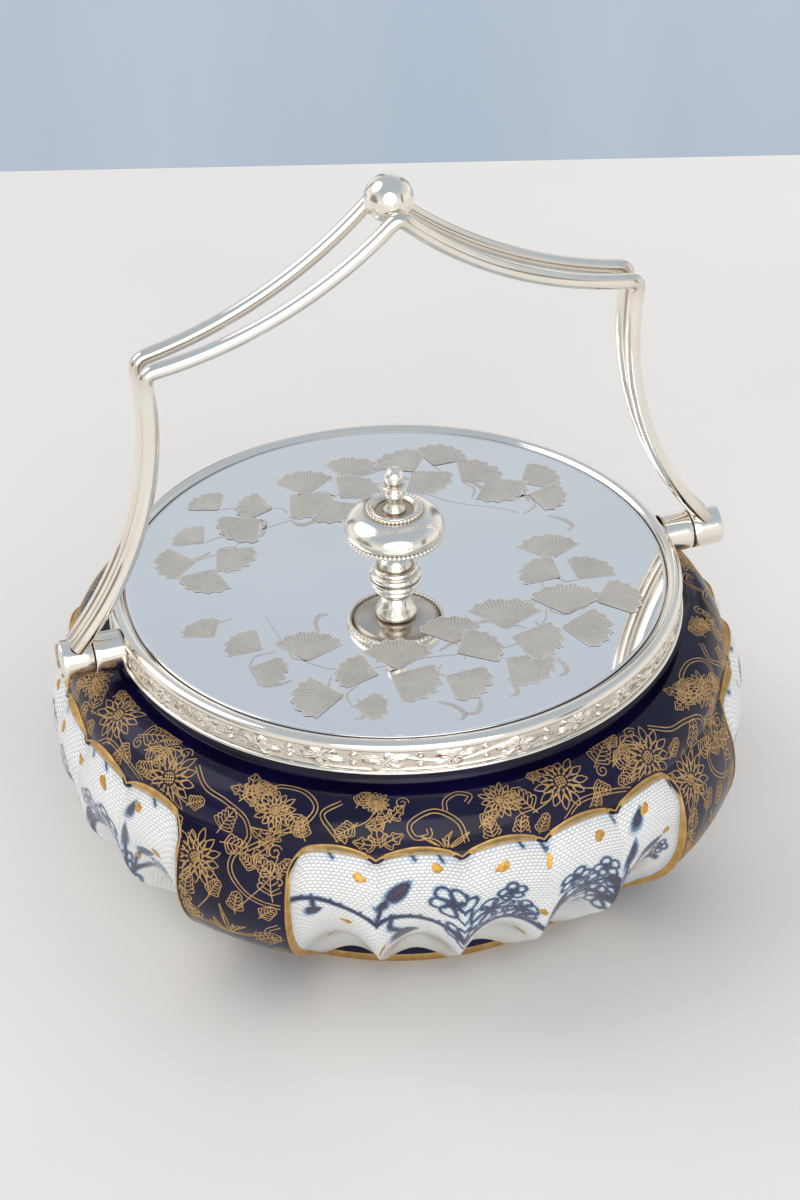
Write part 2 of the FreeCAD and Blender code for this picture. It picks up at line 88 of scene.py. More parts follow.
class Finish:
    """A material, or the world: its nodes and its surface shader."""

    def __init__(self, name, owner=None, shader="Principled BSDF", **sockets):
        self.material = owner or bpy.data.materials.new(name)
        self.material.use_nodes = True
        self.tree = self.material.node_tree
        self.shader = self.tree.nodes[shader]
        for socket, value in sockets.items():
            self.feed(socket.replace("_", " ").title().replace("Ior", "IOR"), value)

    def put(self, socket, value):
        if isinstance(value, Wire):
            self.tree.links.new(value.socket, socket)
        elif isinstance(value, tuple) and len(value) == 3 and socket.type == "RGBA":
            socket.default_value = value + (1.0,)
        else:
            socket.default_value = value

    def feed(self, socket, value):
        """Sets or links a socket of the surface shader."""
        self.put(self.shader.inputs[socket], value)

    def node(self, kind, settings, sockets, output=0):
        """Adds a node: first its settings, then its sockets' values and links."""
        node = self.tree.nodes.new(kind)
        for name, value in settings.items():
            if name == "stops":
                ramp = node.color_ramp.elements
                for index, (place, colour) in enumerate(value):
                    stop = ramp[index] if index < 2 else ramp.new(place)
                    stop.position = place
                    stop.color = colour + (1.0,)
            else:
                setattr(node, name, value)
        for key, value in sockets.items():
            self.put(node.inputs[key], value)
        return Wire(self, node.outputs[output])

    def mark(self, name):
        """A number stored on the mesh's points."""
        return self.node("ShaderNodeAttribute", {"attribute_name": name}, {}, "Fac")

    def mix(self, factor, first, second):
        """A colour between two colours."""
        return self.node("ShaderNodeMix", {"data_type": "RGBA"}, {0: factor, 6: first, 7: second}, 2)

    def spread(self, value, low, high, to_low=0.0, to_high=1.0):
        """The value moved from one range to another, held inside it."""
        return self.node("ShaderNodeMapRange", {}, {
            0: value, 1: low, 2: high, 3: to_low, 4: to_high})

    def noise(self, scale, detail=3.0, stretch=(1.0, 1.0, 1.0)):
        """Cloudy noise from 0 to 1, with its scale per metre."""
        place = self.node("ShaderNodeTexCoord", {}, {}, "Object")
        place = self.node("ShaderNodeMapping", {}, {"Vector": place, "Scale": stretch})
        return self.node("ShaderNodeTexNoise", {}, {
            "Vector": place, "Scale": scale, "Detail": detail})

    def cloud(self, scale, low, high, detail=3.0, stretch=(1.0, 1.0, 1.0)):
        """Cloudy noise with its middle range spread from 0 to 1."""
        return self.spread(self.noise(scale, detail, stretch), low, high)

    def colour(self, factor, first, second):
        """Colours the surface between two colours."""
        self.feed("Base Color", self.mix(factor, first, second))

    def bump(self, height, distance, strength=1.0):
        normal = self.node("ShaderNodeBump", {}, {
            "Height": height, "Distance": distance, "Strength": strength})
        self.feed("Normal", normal)


def sheet(name, grids, finish, around=False, marks=None):
    """A smooth mesh over one grid of points in millimetres, or over many of one size. A
    grid's rows join end to end when it goes all the way round. Marks are numbers for the
    points."""
    grids = np.asarray(grids, float)
    number = np.arange(grids.size // 3).reshape(-1, *grids.shape[-3:-1])
    following = np.roll(number, -1, axis=1) if around else number[:, 1:]
    here = number if around else number[:, :-1]
    faces = np.stack([here[:, :, :-1], following[:, :, :-1], following[:, :, 1:], here[:, :, 1:]], -1)
    mesh = bpy.data.meshes.new(name)
    mesh.from_pydata((grids.reshape(-1, 3) * MM).tolist(), [], faces.reshape(-1, 4).tolist())
    for mark, values in (marks or {}).items():
        layer = mesh.attributes.new(mark, "FLOAT", "POINT")
        layer.data.foreach_set("value", np.asarray(values, np.float32).ravel())
    mesh.shade_smooth()
    mesh.materials.append(finish.material)
    piece = bpy.data.objects.new(name, mesh)
    bpy.context.scene.collection.objects.link(piece)
    return piece


TABLE_END = np.array((116.0, 329.0))
END_LINE = np.array((0.949, -0.315))
BEYOND = np.array((0.315, 0.949))
WALL_PLACE = TABLE_END * 3.4
table = Finish("table_top", roughness=0.55)
table.colour(table.cloud(5.0, 0.35, 0.75, 6.0), (0.80, 0.785, 0.76), (0.735, 0.725, 0.71))
table_top = sheet("table_top", [[(*(TABLE_END + END_LINE * side + BEYOND * reach), 0.0)
                                 for reach in (-1900.0, 0.0)] for side in (-1600.0, 1600.0)], table)

wall = Finish("far_wall", roughness=0.8)
wall.colour(wall.cloud(9.0, 0.3, 0.7, 4.0, (1.0, 1.0, 0.08)), (0.43, 0.51, 0.62), (0.50, 0.57, 0.66))
far_wall = sheet("far_wall", [[(*(WALL_PLACE + END_LINE * side), level) for level in (-1000.0, -20.0)]
                              for side in (-2200.0, 2200.0)], wall)

# Light: two broad soft lights that fall evenly from far off, one from high on the left
# behind the jar and a stronger one from the front, and an even pale room. Metal mirrors
# the room with a blue grey ceiling and a few darker doorways.
world = bpy.data.worlds.new("room")
bpy.context.scene.world = world
room = Finish("room", world, "Background", strength=1.0)
direction = room.node("ShaderNodeTexCoord", {}, {}, "Generated")
sideways, upward = (room.node("ShaderNodeSeparateXYZ", {}, {0: direction}, axis) for axis in "XZ")
ceiling = room.mix(room.spread(upward, 0.05, 0.7), (0.95, 0.92, 0.87), (0.46, 0.535, 0.62))
bands = room.node("ShaderNodeMath", {"operation": "SINE"}, {0: sideways * 11.0})
doorway = room.spread(bands, 0.5, 0.96) * room.spread(upward, 0.52, 0.30)
mirrored = room.mix(doorway * 0.8, ceiling, (0.13, 0.115, 0.10))
glossy = room.node("ShaderNodeLightPath", {}, {}, "Is Glossy Ray")
room.feed("Color", room.mix(glossy, (0.80, 0.80, 0.815), mirrored))


def lamp(name, way, spread_angle, power, colour):
    """Soft light that falls evenly from far off. Its way points from the jar to the lamp."""
    light = bpy.data.lights.new(name, "SUN")
    light.angle = math.radians(spread_angle)
    light.energy = power
    light.color = colour
    holder = bpy.data.objects.new(name, light)
    bpy.context.scene.collection.objects.link(holder)
    holder.rotation_euler = Vector(way).to_track_quat("Z", "Y").to_euler()


lamp("window", (-0.75, 0.5, 0.85), 45.0, 0.6, (1.0, 0.98, 0.95))
lamp("front_fill", (-0.2, -1.0, 0.42), 60.0, 1.15, (1.0, 0.98, 0.96))


# Bowl: one piece of thrown and moulded porcelain. Its outside has a dark cobalt ground,
# its inside and its foot are glazed white, and four relief panels stand out of it.
FOOT_RISE = 2.9
UNDER_RADIUS = 60.6
BELLY_RADIUS = 86.1
BELLY_LEVEL = 34.0
UPPER_ARC = 32.5
LOWER_ARC = 23.6
LOWER_TURN = math.radians(50.0)
CREASE_LEVEL = 51.2
ROLL_CENTRE = (71.0, 52.0)
ROLL_RADIUS = 10.0
LEDGE_LEVEL = 62.0
PANEL_TURN = -91.7
PANEL_SPAN = 70.0
HALF_SPAN = PANEL_SPAN / 2
LOBES = 5
LOBE_SPAN = PANEL_SPAN / LOBES
PANEL_TOP = 49.8
LOBE_RISE = 3.2
PANEL_FOOT = 4.5
FOOT_ARCH = 2.3
CORNER = 5.0
FOOT_RADIUS = 58.0
BEHIND_PANEL = 1.9
HEEL_LEVEL = BELLY_LEVEL - LOWER_ARC * math.sin(LOWER_TURN)
HEEL_RADIUS = BELLY_RADIUS - LOWER_ARC * (1 - math.cos(LOWER_TURN))


def smooth(value, low, high):
    share = np.clip((value - low) / (high - low), 0.0, 1.0)
    return share * share * (3 - 2 * share)


def swell_radius(centre_radius, centre_level, radius, level):
    """Outside radius at a level of a round swell about a centre."""
    return centre_radius + np.sqrt(np.maximum(radius ** 2 - (level - centre_level) ** 2, 0))


def ground_radius(level):
    """Outside radius of the plain bowl, from the foot to the ledge."""
    level = np.asarray(level, float)
    upper = swell_radius(BELLY_RADIUS - UPPER_ARC, BELLY_LEVEL, UPPER_ARC, level)
    lower = swell_radius(BELLY_RADIUS - LOWER_ARC, BELLY_LEVEL, LOWER_ARC, level)
    slope = (HEEL_RADIUS - UNDER_RADIUS) / (HEEL_LEVEL - FOOT_RISE)
    heel = UNDER_RADIUS + (level - FOOT_RISE) * slope
    return np.where(level > BELLY_LEVEL, upper, np.where(level > HEEL_LEVEL, lower, heel))


def outer_radius(level):
    """Ground radius with the roll above the crease."""
    level = np.asarray(level, float)
    roll = swell_radius(*ROLL_CENTRE, ROLL_RADIUS, level)
    return np.where(level >= CREASE_LEVEL, roll, ground_radius(level))


def lobe_arch(turn):
    """1 in the middle of a lobe and 0 at its cusps. Turns count from the panel's middle."""
    across = np.mod((turn + HALF_SPAN) / LOBE_SPAN, 1.0)
    return 1 - (2 * across - 1) ** 2


def panel_edge(turn):
    """Level of a panel's scalloped top edge, with its rounded ends."""
    inside = (HALF_SPAN - np.abs(turn)) * math.radians(BELLY_RADIUS)
    drop = CORNER - np.sqrt(np.maximum(CORNER ** 2 - np.clip(CORNER - inside, 0, CORNER) ** 2, 0))
    return PANEL_TOP + LOBE_RISE * lobe_arch(turn) - drop


def panel_lift(level):
    """How far the middle of a lobe lifts the bowl's curve: more low on the panel, and
    nothing at its foot."""
    lift = 4.5 + 3.5 * (1 - smooth(level, 30, 44))
    return lift * smooth(level, -4, 18) * smooth(level, 2.5, 5)


def panel_radius(turn, level):
    """A lobe lifts the bowl's own curve: it swells above the belly and hollows below."""
    arch = lobe_arch(turn)
    sink = 0.35 + 1.1 * smooth(level, 6, 16) * (1 - smooth(level, 34, 44))
    sink = sink + 1.0 * smooth(level, 43, 48) * (1 - arch)
    return ground_radius(level - panel_lift(level) * arch) - sink


def round_point(turn, radius, level):
    """A point from its turn in degrees from the front panel's middle."""
    angle = np.radians(np.asarray(turn, float) + PANEL_TURN)
    return np.stack(np.broadcast_arrays(radius * np.cos(angle), radius * np.sin(angle), level), -1)


def arc(centre, radius, first, last, count):
    """Points (radius, level) on an arc between two angles in degrees."""
    angles = np.radians(np.linspace(first, last, count))
    return [(centre[0] + radius * math.cos(a), centre[1] + radius * math.sin(a)) for a in angles]


cobalt = Finish("cobalt_ground", roughness=0.15, ior=1.45, specular_ior_level=0.36)
pooled = cobalt.mix(cobalt.cloud(60.0, 0.35, 0.7, 5.0), (0.0025, 0.0016, 0.013), (0.005, 0.004, 0.034))
specks = cobalt.cloud(900.0, 0.62, 0.8, 2.0)
cobalt.colour(specks * 0.15, pooled, (0.03, 0.025, 0.06))
cobalt.bump(cobalt.noise(140.0, 2.0), 0.00012, 0.35)

white_glaze = Finish("white_glaze", roughness=0.12, ior=1.5, coat_weight=0.4)
white_glaze.colour(white_glaze.cloud(70.0, 0.3, 0.75), (0.80, 0.81, 0.80), (0.74, 0.77, 0.79))
white_glaze.bump(white_glaze.noise(160.0, 2.0), 0.0001, 0.3)

bisque = Finish("bare_foot", roughness=0.75)
grit = bisque.cloud(700.0, 0.4, 0.7)
bisque.colour(grit, (0.70, 0.66, 0.59), (0.52, 0.47, 0.40))
bisque.bump(grit, 0.0001, 0.5)

INSIDE_LINE = [(0.0, 9.0), (20.0, 9.0), (40.0, 9.0), (50.0, 9.1), (57.0, 12.2), (63.6, 17.0),
               (69.1, 22.3), (72.6, 26.8), (75.1, 32.6), (76.0, 40.0), (75.0, 46.6), (72.2, 52.6),
               (68.2, 57.0), (64.0, 60.0), (64.0, 65.0), (64.0, 69.6), (64.6, 70.2), (67.4, 70.2),
               (68.0, 69.6), (68.0, 66.0), (68.0, 62.5), (68.5, 62.0), (70.0, 62.0)]
FOOT_LINE = [(58.3, 2.9), (FOOT_RADIUS, 2.6), (FOOT_RADIUS, 1.0), (57.6, 0.25), (56.8, 0.0),
             (54.2, 0.0), (53.2, 0.4), (53.0, 1.2), (53.0, 2.6), (52.4, 3.0), (30.0, 3.0), (0.0, 3.0)]
NECK_POINTS = 6
ROLL_POINTS = 40
WALL_POINTS = 45
COBALT_SLOT = 1
BISQUE_SLOT = 2
SET_BACK = 0.6


def bowl_column(turn, in_panel):
    """The bowl's section at one turn: inside, neck, roll, then the outside down to the
    foot, set back behind a panel where there is one."""
    stop = float(panel_edge(turn if in_panel else HALF_SPAN)) - SET_BACK
    curve = 1 - np.cos(np.linspace(0.12, math.pi / 2, ROLL_POINTS))
    levels = LEDGE_LEVEL - (LEDGE_LEVEL - stop) * curve
    upper = [(float(outer_radius(z)), z) for z in levels]
    low_levels = np.linspace(stop, FOOT_RISE, WALL_POINTS + 1)[1:]
    radii = ground_radius(low_levels)
    if in_panel:
        hollow = np.minimum(radii, ground_radius(low_levels - panel_lift(low_levels)))
        radii = np.maximum(hollow - BEHIND_PANEL, FOOT_RADIUS + 0.3)
    lower = list(zip(radii.tolist(), low_levels.tolist()))
    return INSIDE_LINE + upper + lower + FOOT_LINE


def stand_for(piece, node, body):
    """Sets a piece in the place of a CAD node and its body."""
    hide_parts(node)
    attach(piece, body)


across_panel = HALF_SPAN * np.sin(np.linspace(-math.pi / 2, math.pi / 2, 121))
across_gap = np.linspace(HALF_SPAN + 0.15, 90 - HALF_SPAN - 0.15, 41)
bowl_columns = []
bowl_turns = []
for quarter in range(4):
    for turns, in_panel in ((across_panel, True), (across_gap, False)):
        bowl_columns += [bowl_column(turn, in_panel) for turn in turns]
        bowl_turns += [turn + 90 * quarter for turn in turns]
section = np.array(bowl_columns)
bowl_grid = round_point(np.array(bowl_turns)[:, None], section[:, :, 0], section[:, :, 1])
bowl_body = sheet("bowl_body", bowl_grid, white_glaze, around=True)
bowl_body.data.materials.append(cobalt.material)
bowl_body.data.materials.append(bisque.material)
ledge_start = len(INSIDE_LINE)
foot_start = ledge_start + ROLL_POINTS + WALL_POINTS
strip_finish = np.zeros(section.shape[1] - 1, int)
strip_finish[ledge_start - NECK_POINTS:foot_start] = COBALT_SLOT
strip_finish[foot_start + 3:foot_start + 7] = BISQUE_SLOT
bowl_body.data.polygons.foreach_set("material_index", np.tile(strip_finish, len(bowl_columns)))
stand_for(bowl_body, "porcelain_bowl", "jar")


# Relief panels: four white panels moulded in one with the bowl, with a fine woven grain,
# painted under the glaze in soft running blue and touched with gold dots.
PANEL_ROWS = 170
PANEL_COLUMNS = 300
ACROSS = math.radians(79.0)
SIDES = ("front", "right", "back", "left")
PANEL_LAP = 0.6
RIM_ACROSS = 1.4
RIM_REACH = 1.7


def bent_line(points, steps=10):
    """A smooth curve through a few points, as many points close together."""
    points = np.asarray(points, float)
    ends = np.vstack([2 * points[0] - points[1], points, 2 * points[-1] - points[-2]])
    share = np.linspace(0, 1, steps, endpoint=False)[:, None]
    parts = []
    for a, b, c, d in zip(ends, ends[1:], ends[2:], ends[3:]):
        parts.append(0.5 * (2 * b + (c - a) * share + (2 * a - 5 * b + 4 * c - d) * share ** 2
                            + (3 * b - a - 3 * c + d) * share ** 3))
    return np.vstack(parts + [points[-1:]])


def left_of(line):
    """The way to the left of each point of a flat line, one unit long."""
    along = np.gradient(line, axis=0)
    along /= np.linalg.norm(along, axis=1)[:, None] + 1e-9
    return np.stack([-along[:, 1], along[:, 0]], 1)


def turned(points, angle):
    """Flat points turned about the origin by an angle in radians."""
    x, y = np.asarray(points, float).T
    return np.stack([x * math.cos(angle) - y * math.sin(angle),
                     x * math.sin(angle) + y * math.cos(angle)], 1)


def circle(steps):
    """Angles in radians, evenly all the way round."""
    return np.linspace(0, 2 * math.pi, steps, endpoint=False)


def line_distance(across, level, line):
    """Distance in millimetres from every point of a panel to a line."""
    nearest = np.full(across.shape, 1e3)
    low, high = line.min(0) - 4, line.max(0) + 4
    near = (across > low[0]) & (across < high[0]) & (level > low[1]) & (level < high[1])
    x, y = across[near], level[near]
    best = np.full(x.shape, 1e3)
    for (ax, ay), (bx, by) in zip(line, line[1:]):
        dx, dy = bx - ax, by - ay
        share = np.clip(((x - ax) * dx + (y - ay) * dy) / max(dx * dx + dy * dy, 1e-9), 0, 1)
        best = np.minimum(best, np.hypot(x - ax - share * dx, y - ay - share * dy))
    nearest[near] = best
    return nearest


class Painting:
    """Blue ink and its bleed over one panel. Places are (turn, level) on the plain bowl,
    and a degree of turn is ACROSS millimetres."""

    def __init__(self, turns, levels):
        self.across = turns * ACROSS
        self.level = levels
        self.ink = np.zeros(turns.shape)
        self.plum = np.zeros(turns.shape)

    def stroke(self, points, width, strength=1.0, steps=10, bleed=0.55):
        """A brush line that runs a little into the glaze beside it."""
        line = bent_line([(turn * ACROSS, level) for turn, level in points], steps)
        gap = line_distance(self.across, self.level, line) - width / 2
        core = 1 - smooth(gap, -0.05, 0.38)
        halo = bleed * np.exp(-(np.maximum(gap, 0) / 0.75) ** 2)
        self.ink = np.maximum(self.ink, strength * np.maximum(core, halo))

    def blot(self, turn, level, long, short, lean):
        """A dark bud: a plum coloured heart that runs to blue."""
        angle = math.radians(lean)
        x, y = self.across - turn * ACROSS, self.level - level
        along = (x * math.cos(angle) + y * math.sin(angle)) / long
        side = (y * math.cos(angle) - x * math.sin(angle)) / (short * (1 - 0.35 * along))
        gap = (np.hypot(along, side) - 1) * short
        self.ink = np.maximum(self.ink, np.maximum(1 - smooth(gap, -0.1, 0.45),
                                                   0.6 * np.exp(-(np.maximum(gap, 0) / 0.9) ** 2)))
        self.plum = np.maximum(self.plum, 1 - smooth(gap, -0.7, 0.1))

    def blossom(self, turn, level, radius, petals, lean=0.0):
        """Outlined round petals about a dark heart of stamens."""
        heart = (turn, level)
        for petal in range(petals):
            angle = math.radians(lean + 360 * petal / petals)
            out = radius * 0.62
            middle = (turn + out * math.cos(angle) / ACROSS, level + out * math.sin(angle))
            loop = [(middle[0] + radius * 0.36 * math.cos(a) / ACROSS,
                     middle[1] + radius * 0.36 * math.sin(a))
                    for a in np.radians(np.arange(0, 361, 45))]
            self.stroke(loop, 0.32, 0.85, 4, 0.45)
            tip = (turn + radius * 0.34 * math.cos(angle + 0.4) / ACROSS,
                   level + radius * 0.34 * math.sin(angle + 0.4))
            self.stroke([heart, tip], 0.55, 0.95, 2, 0.6)
        self.blot(turn, level, radius * 0.17, radius * 0.17, 0)


def paint_panel(painting, shift):
    """The blossoming branch that crosses a panel, with a little change from one to the next."""
    branch = [(-34.5, 37.4), (-29.7, 35.8), (-26.6, 34.0), (-23.5, 33.0), (-20.8, 33.6),
              (-18.4, 32.4), (-15.7, 30.4), (-12.9, 28.0), (-10.5, 26.6), (-7.0, 25.6),
              (-3.0, 23.6), (0.2, 22.2), (3.4, 21.6), (5.9, 22.4), (9.0, 24.6), (13.0, 23.4),
              (17.5, 21.4), (21.5, 22.6), (25.0, 21.5), (28.5, 23.0), (31.5, 22.0)]
    branch = [(turn, level + 0.8 * math.sin(turn / 9 + shift)) for turn, level in branch]
    painting.stroke(branch, 0.9)
    for number in range(30):
        turn = -33 + number * 1.55
        level = float(np.interp(turn, [p[0] for p in branch], [p[1] for p in branch]))
        reach = 0.9 + 0.5 * math.sin(number * 2.3 + shift)
        painting.stroke([(turn, level), (turn + 0.35, level + reach)], 0.18, 0.9, 2, 0.3)
    twigs = [[(-21.0, 33.6), (-20.4, 36.4), (-20.1, 38.3)], [(-18.4, 32.3), (-18.9, 28.4), (-17.2, 23.6)],
             [(2.2, 21.8), (3.0, 23.6), (4.4, 25.4)], [(5.9, 22.4), (8.4, 25.0), (9.4, 27.2)],
             [(19.5, 22.0), (21.4, 27.0), (22.6, 33.4)], [(21.5, 22.6), (24.4, 26.4), (26.6, 29.4)],
             [(-31.0, 36.2), (-31.0, 34.0), (-30.9, 32.4)], [(14.0, 23.2), (16.0, 27.0), (19.0, 29.4)]]
    for twig in twigs:
        painting.stroke(twig, 0.5)
    for bud in [(-30.9, 31.4, 1.5, 1.3, 20), (-17.4, 40.2, 2.5, 1.75, 35), (-19.9, 38.2, 1.1, 1.0, 60),
                (-16.6, 22.0, 2.3, 1.5, -10), (9.3, 27.2, 2.1, 1.2, 60), (19.6, 29.6, 1.9, 1.2, 40),
                (22.8, 35.6, 2.6, 1.0, 80), (27.6, 30.4, 2.4, 1.2, 35), (24.4, 43.5, 1.5, 0.9, 60)]:
        painting.blot(*bud)
    for bloom in [(-8.8, 36.4, 5.4, 6, 10), (-2.6, 29.6, 5.2, 7, 0), (-7.6, 26.0, 3.6, 5, 70),
                  (0.6, 35.0, 3.4, 5, 20), (14.0, 26.6, 5.6, 7, 15), (18.6, 21.0, 4.4, 6, 50),
                  (11.6, 33.6, 3.8, 5, 0), (17.6, 33.6, 4.0, 5, 30), (13.4, 15.0, 4.2, 6, 0),
                  (30.4, 26.4, 3.0, 5, 0), (2.4, 26.4, 4.4, 7, 20), (20.6, 27.4, 3.6, 6, 0)]:
        painting.blossom(*bloom)
    for number in range(16):
        turn = -33 + number * 4.4 + shift
        top = float(panel_edge(turn)) - 3.3 * float(lobe_arch(turn))
        if math.sin(number * 1.7 + shift) > 0.2:
            painting.stroke([(turn, top - 1.4), (turn + 0.7, top - 2.8)], 0.3, 0.8, 3)


painted = Finish("painted_panel", roughness=0.13, ior=1.5, coat_weight=0.5, coat_roughness=0.05)
ink = painted.mark("ink")
tone = painted.cloud(80.0, 0.3, 0.7, 4.0)
weave_place = painted.node("ShaderNodeCombineXYZ", {}, {
    0: painted.mark("across"), 1: painted.mark("down"), 2: 0.0})
weave = painted.node("ShaderNodeTexBrick", {"offset": 0.5, "squash": 1.0}, {
    "Vector": weave_place, "Scale": 1.0, "Mortar Size": 0.17, "Mortar Smooth": 1.0,
    "Brick Width": 1.15, "Row Height": 0.85}, "Fac")
white = painted.mix(tone, (0.93, 0.925, 0.89), (0.88, 0.90, 0.90))
weave_tint = painted.spread(painted.noise(240.0), 0.3, 0.7, 0.08, 0.22)
white = painted.mix(weave * painted.mark("grain") * weave_tint, white, (0.42, 0.54, 0.64))
white = painted.mix(painted.mark("rim_shade") * 0.55, white, (0.36, 0.50, 0.70))
runny = ink + (painted.noise(1100.0, 2.0) - 0.5) * 0.35 * painted.spread(ink, 0.05, 0.4)
blue = painted.node("ShaderNodeValToRGB", {"stops": [
    (0.0, (0.62, 0.74, 0.84)), (1.0, (0.016, 0.022, 0.060)),
    (0.35, (0.27, 0.40, 0.56)), (0.62, (0.060, 0.105, 0.21))]}, {0: runny})
inked = painted.mix(painted.spread(runny, 0.04, 0.42), white, blue)
plum_colour = painted.mix(painted.cloud(1500.0, 0.35, 0.65, 2.0), (0.030, 0.016, 0.045), (0.085, 0.05, 0.10))
painted.colour(painted.mark("plum") * 0.9, inked, plum_colour)
painted.bump(1 - weave, 0.0004, 0.8)

panel_turns = np.linspace(-HALF_SPAN, HALF_SPAN, PANEL_COLUMNS + 1)[:, None]
top_edge = panel_edge(panel_turns)
foot_edge = PANEL_FOOT - PANEL_LAP + FOOT_ARCH * lobe_arch(panel_turns)
share = np.linspace(0, 1, PANEL_ROWS + 1)
levels = top_edge + (foot_edge - top_edge) * (share * 0.75 + 0.25 * share ** 2)
turns = np.broadcast_to(panel_turns, levels.shape)
radii = panel_radius(turns, levels)
from_edge = np.minimum(top_edge - levels, (HALF_SPAN - np.abs(turns)) * RIM_ACROSS)
down = np.cumsum(np.hypot(np.diff(radii, axis=1, prepend=radii[:, :1]),
                          np.diff(levels, axis=1, prepend=levels[:, :1])), axis=1)
for quarter, (side_name, shift) in enumerate(zip(SIDES, (0.0, 1.7, 3.1, 4.6))):
    painting = Painting(turns, levels - panel_lift(levels) * lobe_arch(turns))
    paint_panel(painting, shift)
    shade = np.exp(-(from_edge / RIM_REACH) ** 2) * (0.75 + 0.25 * np.sin(turns * 1.9 + quarter))
    panel = sheet("relief_panel_" + side_name, round_point(turns + 90 * quarter, radii, levels),
                  painted, marks={"ink": painting.ink, "plum": painting.plum, "rim_shade": shade,
                                  "across": turns * ACROSS, "down": down,
                                  "grain": smooth(levels, 12, 34)})
    stand_for(panel, "porcelain_bowl", "jar")


# Gilding: burnished gold painted on over the glaze. A raised edge runs round each panel,
# a line runs round the foot, dots lie on the panels and fine line work on the ground.
gold = Finish("gilding", metallic=0.85)
wear = gold.cloud(420.0, 0.3, 0.75, 4.0)
gold.colour(wear, (0.68, 0.43, 0.15), (0.46, 0.27, 0.09))
gold.feed("Roughness", gold.spread(wear, 0.0, 1.0, 0.38, 0.6))
gold.bump(gold.noise(900.0, 3.0), 0.00008, 0.5)
EDGE_WIDTH = 1.05
EDGE_PROUD = 0.16
EDGE_ACROSS = 1.45


def gilt_edge(quarter):
    """The rounded gold edge of one panel, from the foot up one side, over the scallops
    and down the other side."""
    side_levels = np.linspace(PANEL_FOOT, PANEL_TOP - CORNER, 90)
    outline = [(-HALF_SPAN, level) for level in side_levels]
    scallops = HALF_SPAN * np.sin(np.linspace(-math.pi / 2, math.pi / 2, 500))
    outline += [(turn, float(panel_edge(turn))) for turn in scallops[1:-1]]
    outline += [(HALF_SPAN, level) for level in side_levels[::-1]]
    outline = np.array(outline)
    inward = -left_of(outline * (EDGE_ACROSS, 1))
    rows = []
    for place in np.linspace(-1, 1, 9):
        offset = place * EDGE_WIDTH / 2
        turn = outline[:, 0] + inward[:, 0] * offset / EDGE_ACROSS
        level = np.maximum(outline[:, 1] + inward[:, 1] * offset, 3.2)
        within = np.clip(turn, -HALF_SPAN, HALF_SPAN)
        panel_side = panel_radius(within, level)
        ground_side = outer_radius(level)
        share = smooth(place, -0.45, 0.45)
        crown = EDGE_PROUD * (1 - abs(place) ** 3) + 0.05
        radius = ground_side + (panel_side - ground_side) * share + crown
        rows.append(round_point(turn + 90 * quarter, radius, level))
    return np.stack(rows, 1)


for quarter, side_name in enumerate(SIDES):
    edge_piece = sheet("gilt_edge_" + side_name, gilt_edge(quarter), gold)
    stand_for(edge_piece, "porcelain_bowl", "jar")

foot_line = sheet("gilt_foot_line", round_point(
    np.degrees(circle(240))[:, None], np.array([58.02, 58.07, 58.07, 57.68, 56.9]),
    np.array([2.4, 2.1, 1.0, 0.22, 0.02])), gold, around=True)
stand_for(foot_line, "porcelain_bowl", "jar")

# Gold dots on the panels: thick uneven touches of gilding, each a low blob. A dot is
# (turn, level on the plain bowl, half length, half width, lean in degrees).
dot_gold = Finish("dot_gilding", roughness=0.42, metallic=0.85)
dot_gold.colour(dot_gold.cloud(1300.0, 0.35, 0.65), (0.78, 0.47, 0.12), (0.50, 0.27, 0.06))
dot_gold.bump(dot_gold.noise(1600.0, 3.0), 0.00012, 0.8)
DOTS = [(-23.6, 44.0, 1.5, 1.0, 10), (-11.3, 45.2, 1.3, 1.1, 0), (-0.8, 43.0, 1.7, 1.2, 20),
        (7.3, 44.5, 1.6, 0.7, 80), (16.4, 43.6, 1.6, 1.2, 50), (26.0, 44.2, 1.4, 1.1, 60),
        (6.2, 29.0, 1.6, 0.7, 50), (-25.9, 26.6, 1.4, 0.9, 0), (-20.3, 21.4, 1.5, 0.6, 60),
        (-10.1, 14.8, 1.4, 0.9, 0), (4.8, 14.9, 1.7, 0.7, 10), (-31.0, 10.5, 1.2, 0.6, 0),
        (24.6, 26.5, 1.3, 0.8, 30), (30.6, 34.0, 1.4, 1.0, 50), (29.0, 14.0, 1.3, 0.8, 0)]


def panel_spot(turn, plain_level, across, up):
    """The place on a panel that is so far across and up from a painted spot. The lift
    depends on the level that it gives, so it is worked out over and over."""
    turn = turn + across / ACROSS
    level = plain_level + up
    for attempt in range(12):
        level = plain_level + up + panel_lift(level) * lobe_arch(turn)
    return turn, level


dots = []
for quarter in range(4):
    for turn, level, long, short, lean in DOTS:
        grid = []
        angle = math.radians(lean + 25 * quarter)
        for way in circle(20):
            uneven = 1 + 0.10 * math.sin(3 * way + turn) + 0.07 * math.sin(5 * way + level)
            ray = []
            for part in (1.0, 0.92, 0.7, 0.35, 0.0):
                reach = part * uneven
                spot = turned([(long * reach * math.cos(way), short * reach * math.sin(way))], angle)[0]
                spot_turn, spot_level = panel_spot(turn, level, *spot)
                height = 0.03 + 0.10 * math.sqrt(1 - part ** 2)
                radius = float(panel_radius(spot_turn, spot_level)) + height
                ray.append(round_point(spot_turn + 90 * quarter, radius, spot_level))
            grid.append(ray)
        dots.append(grid)
gold_dots = sheet("gold_dots", dots, dot_gold, around=True)
stand_for(gold_dots, "porcelain_bowl", "jar")

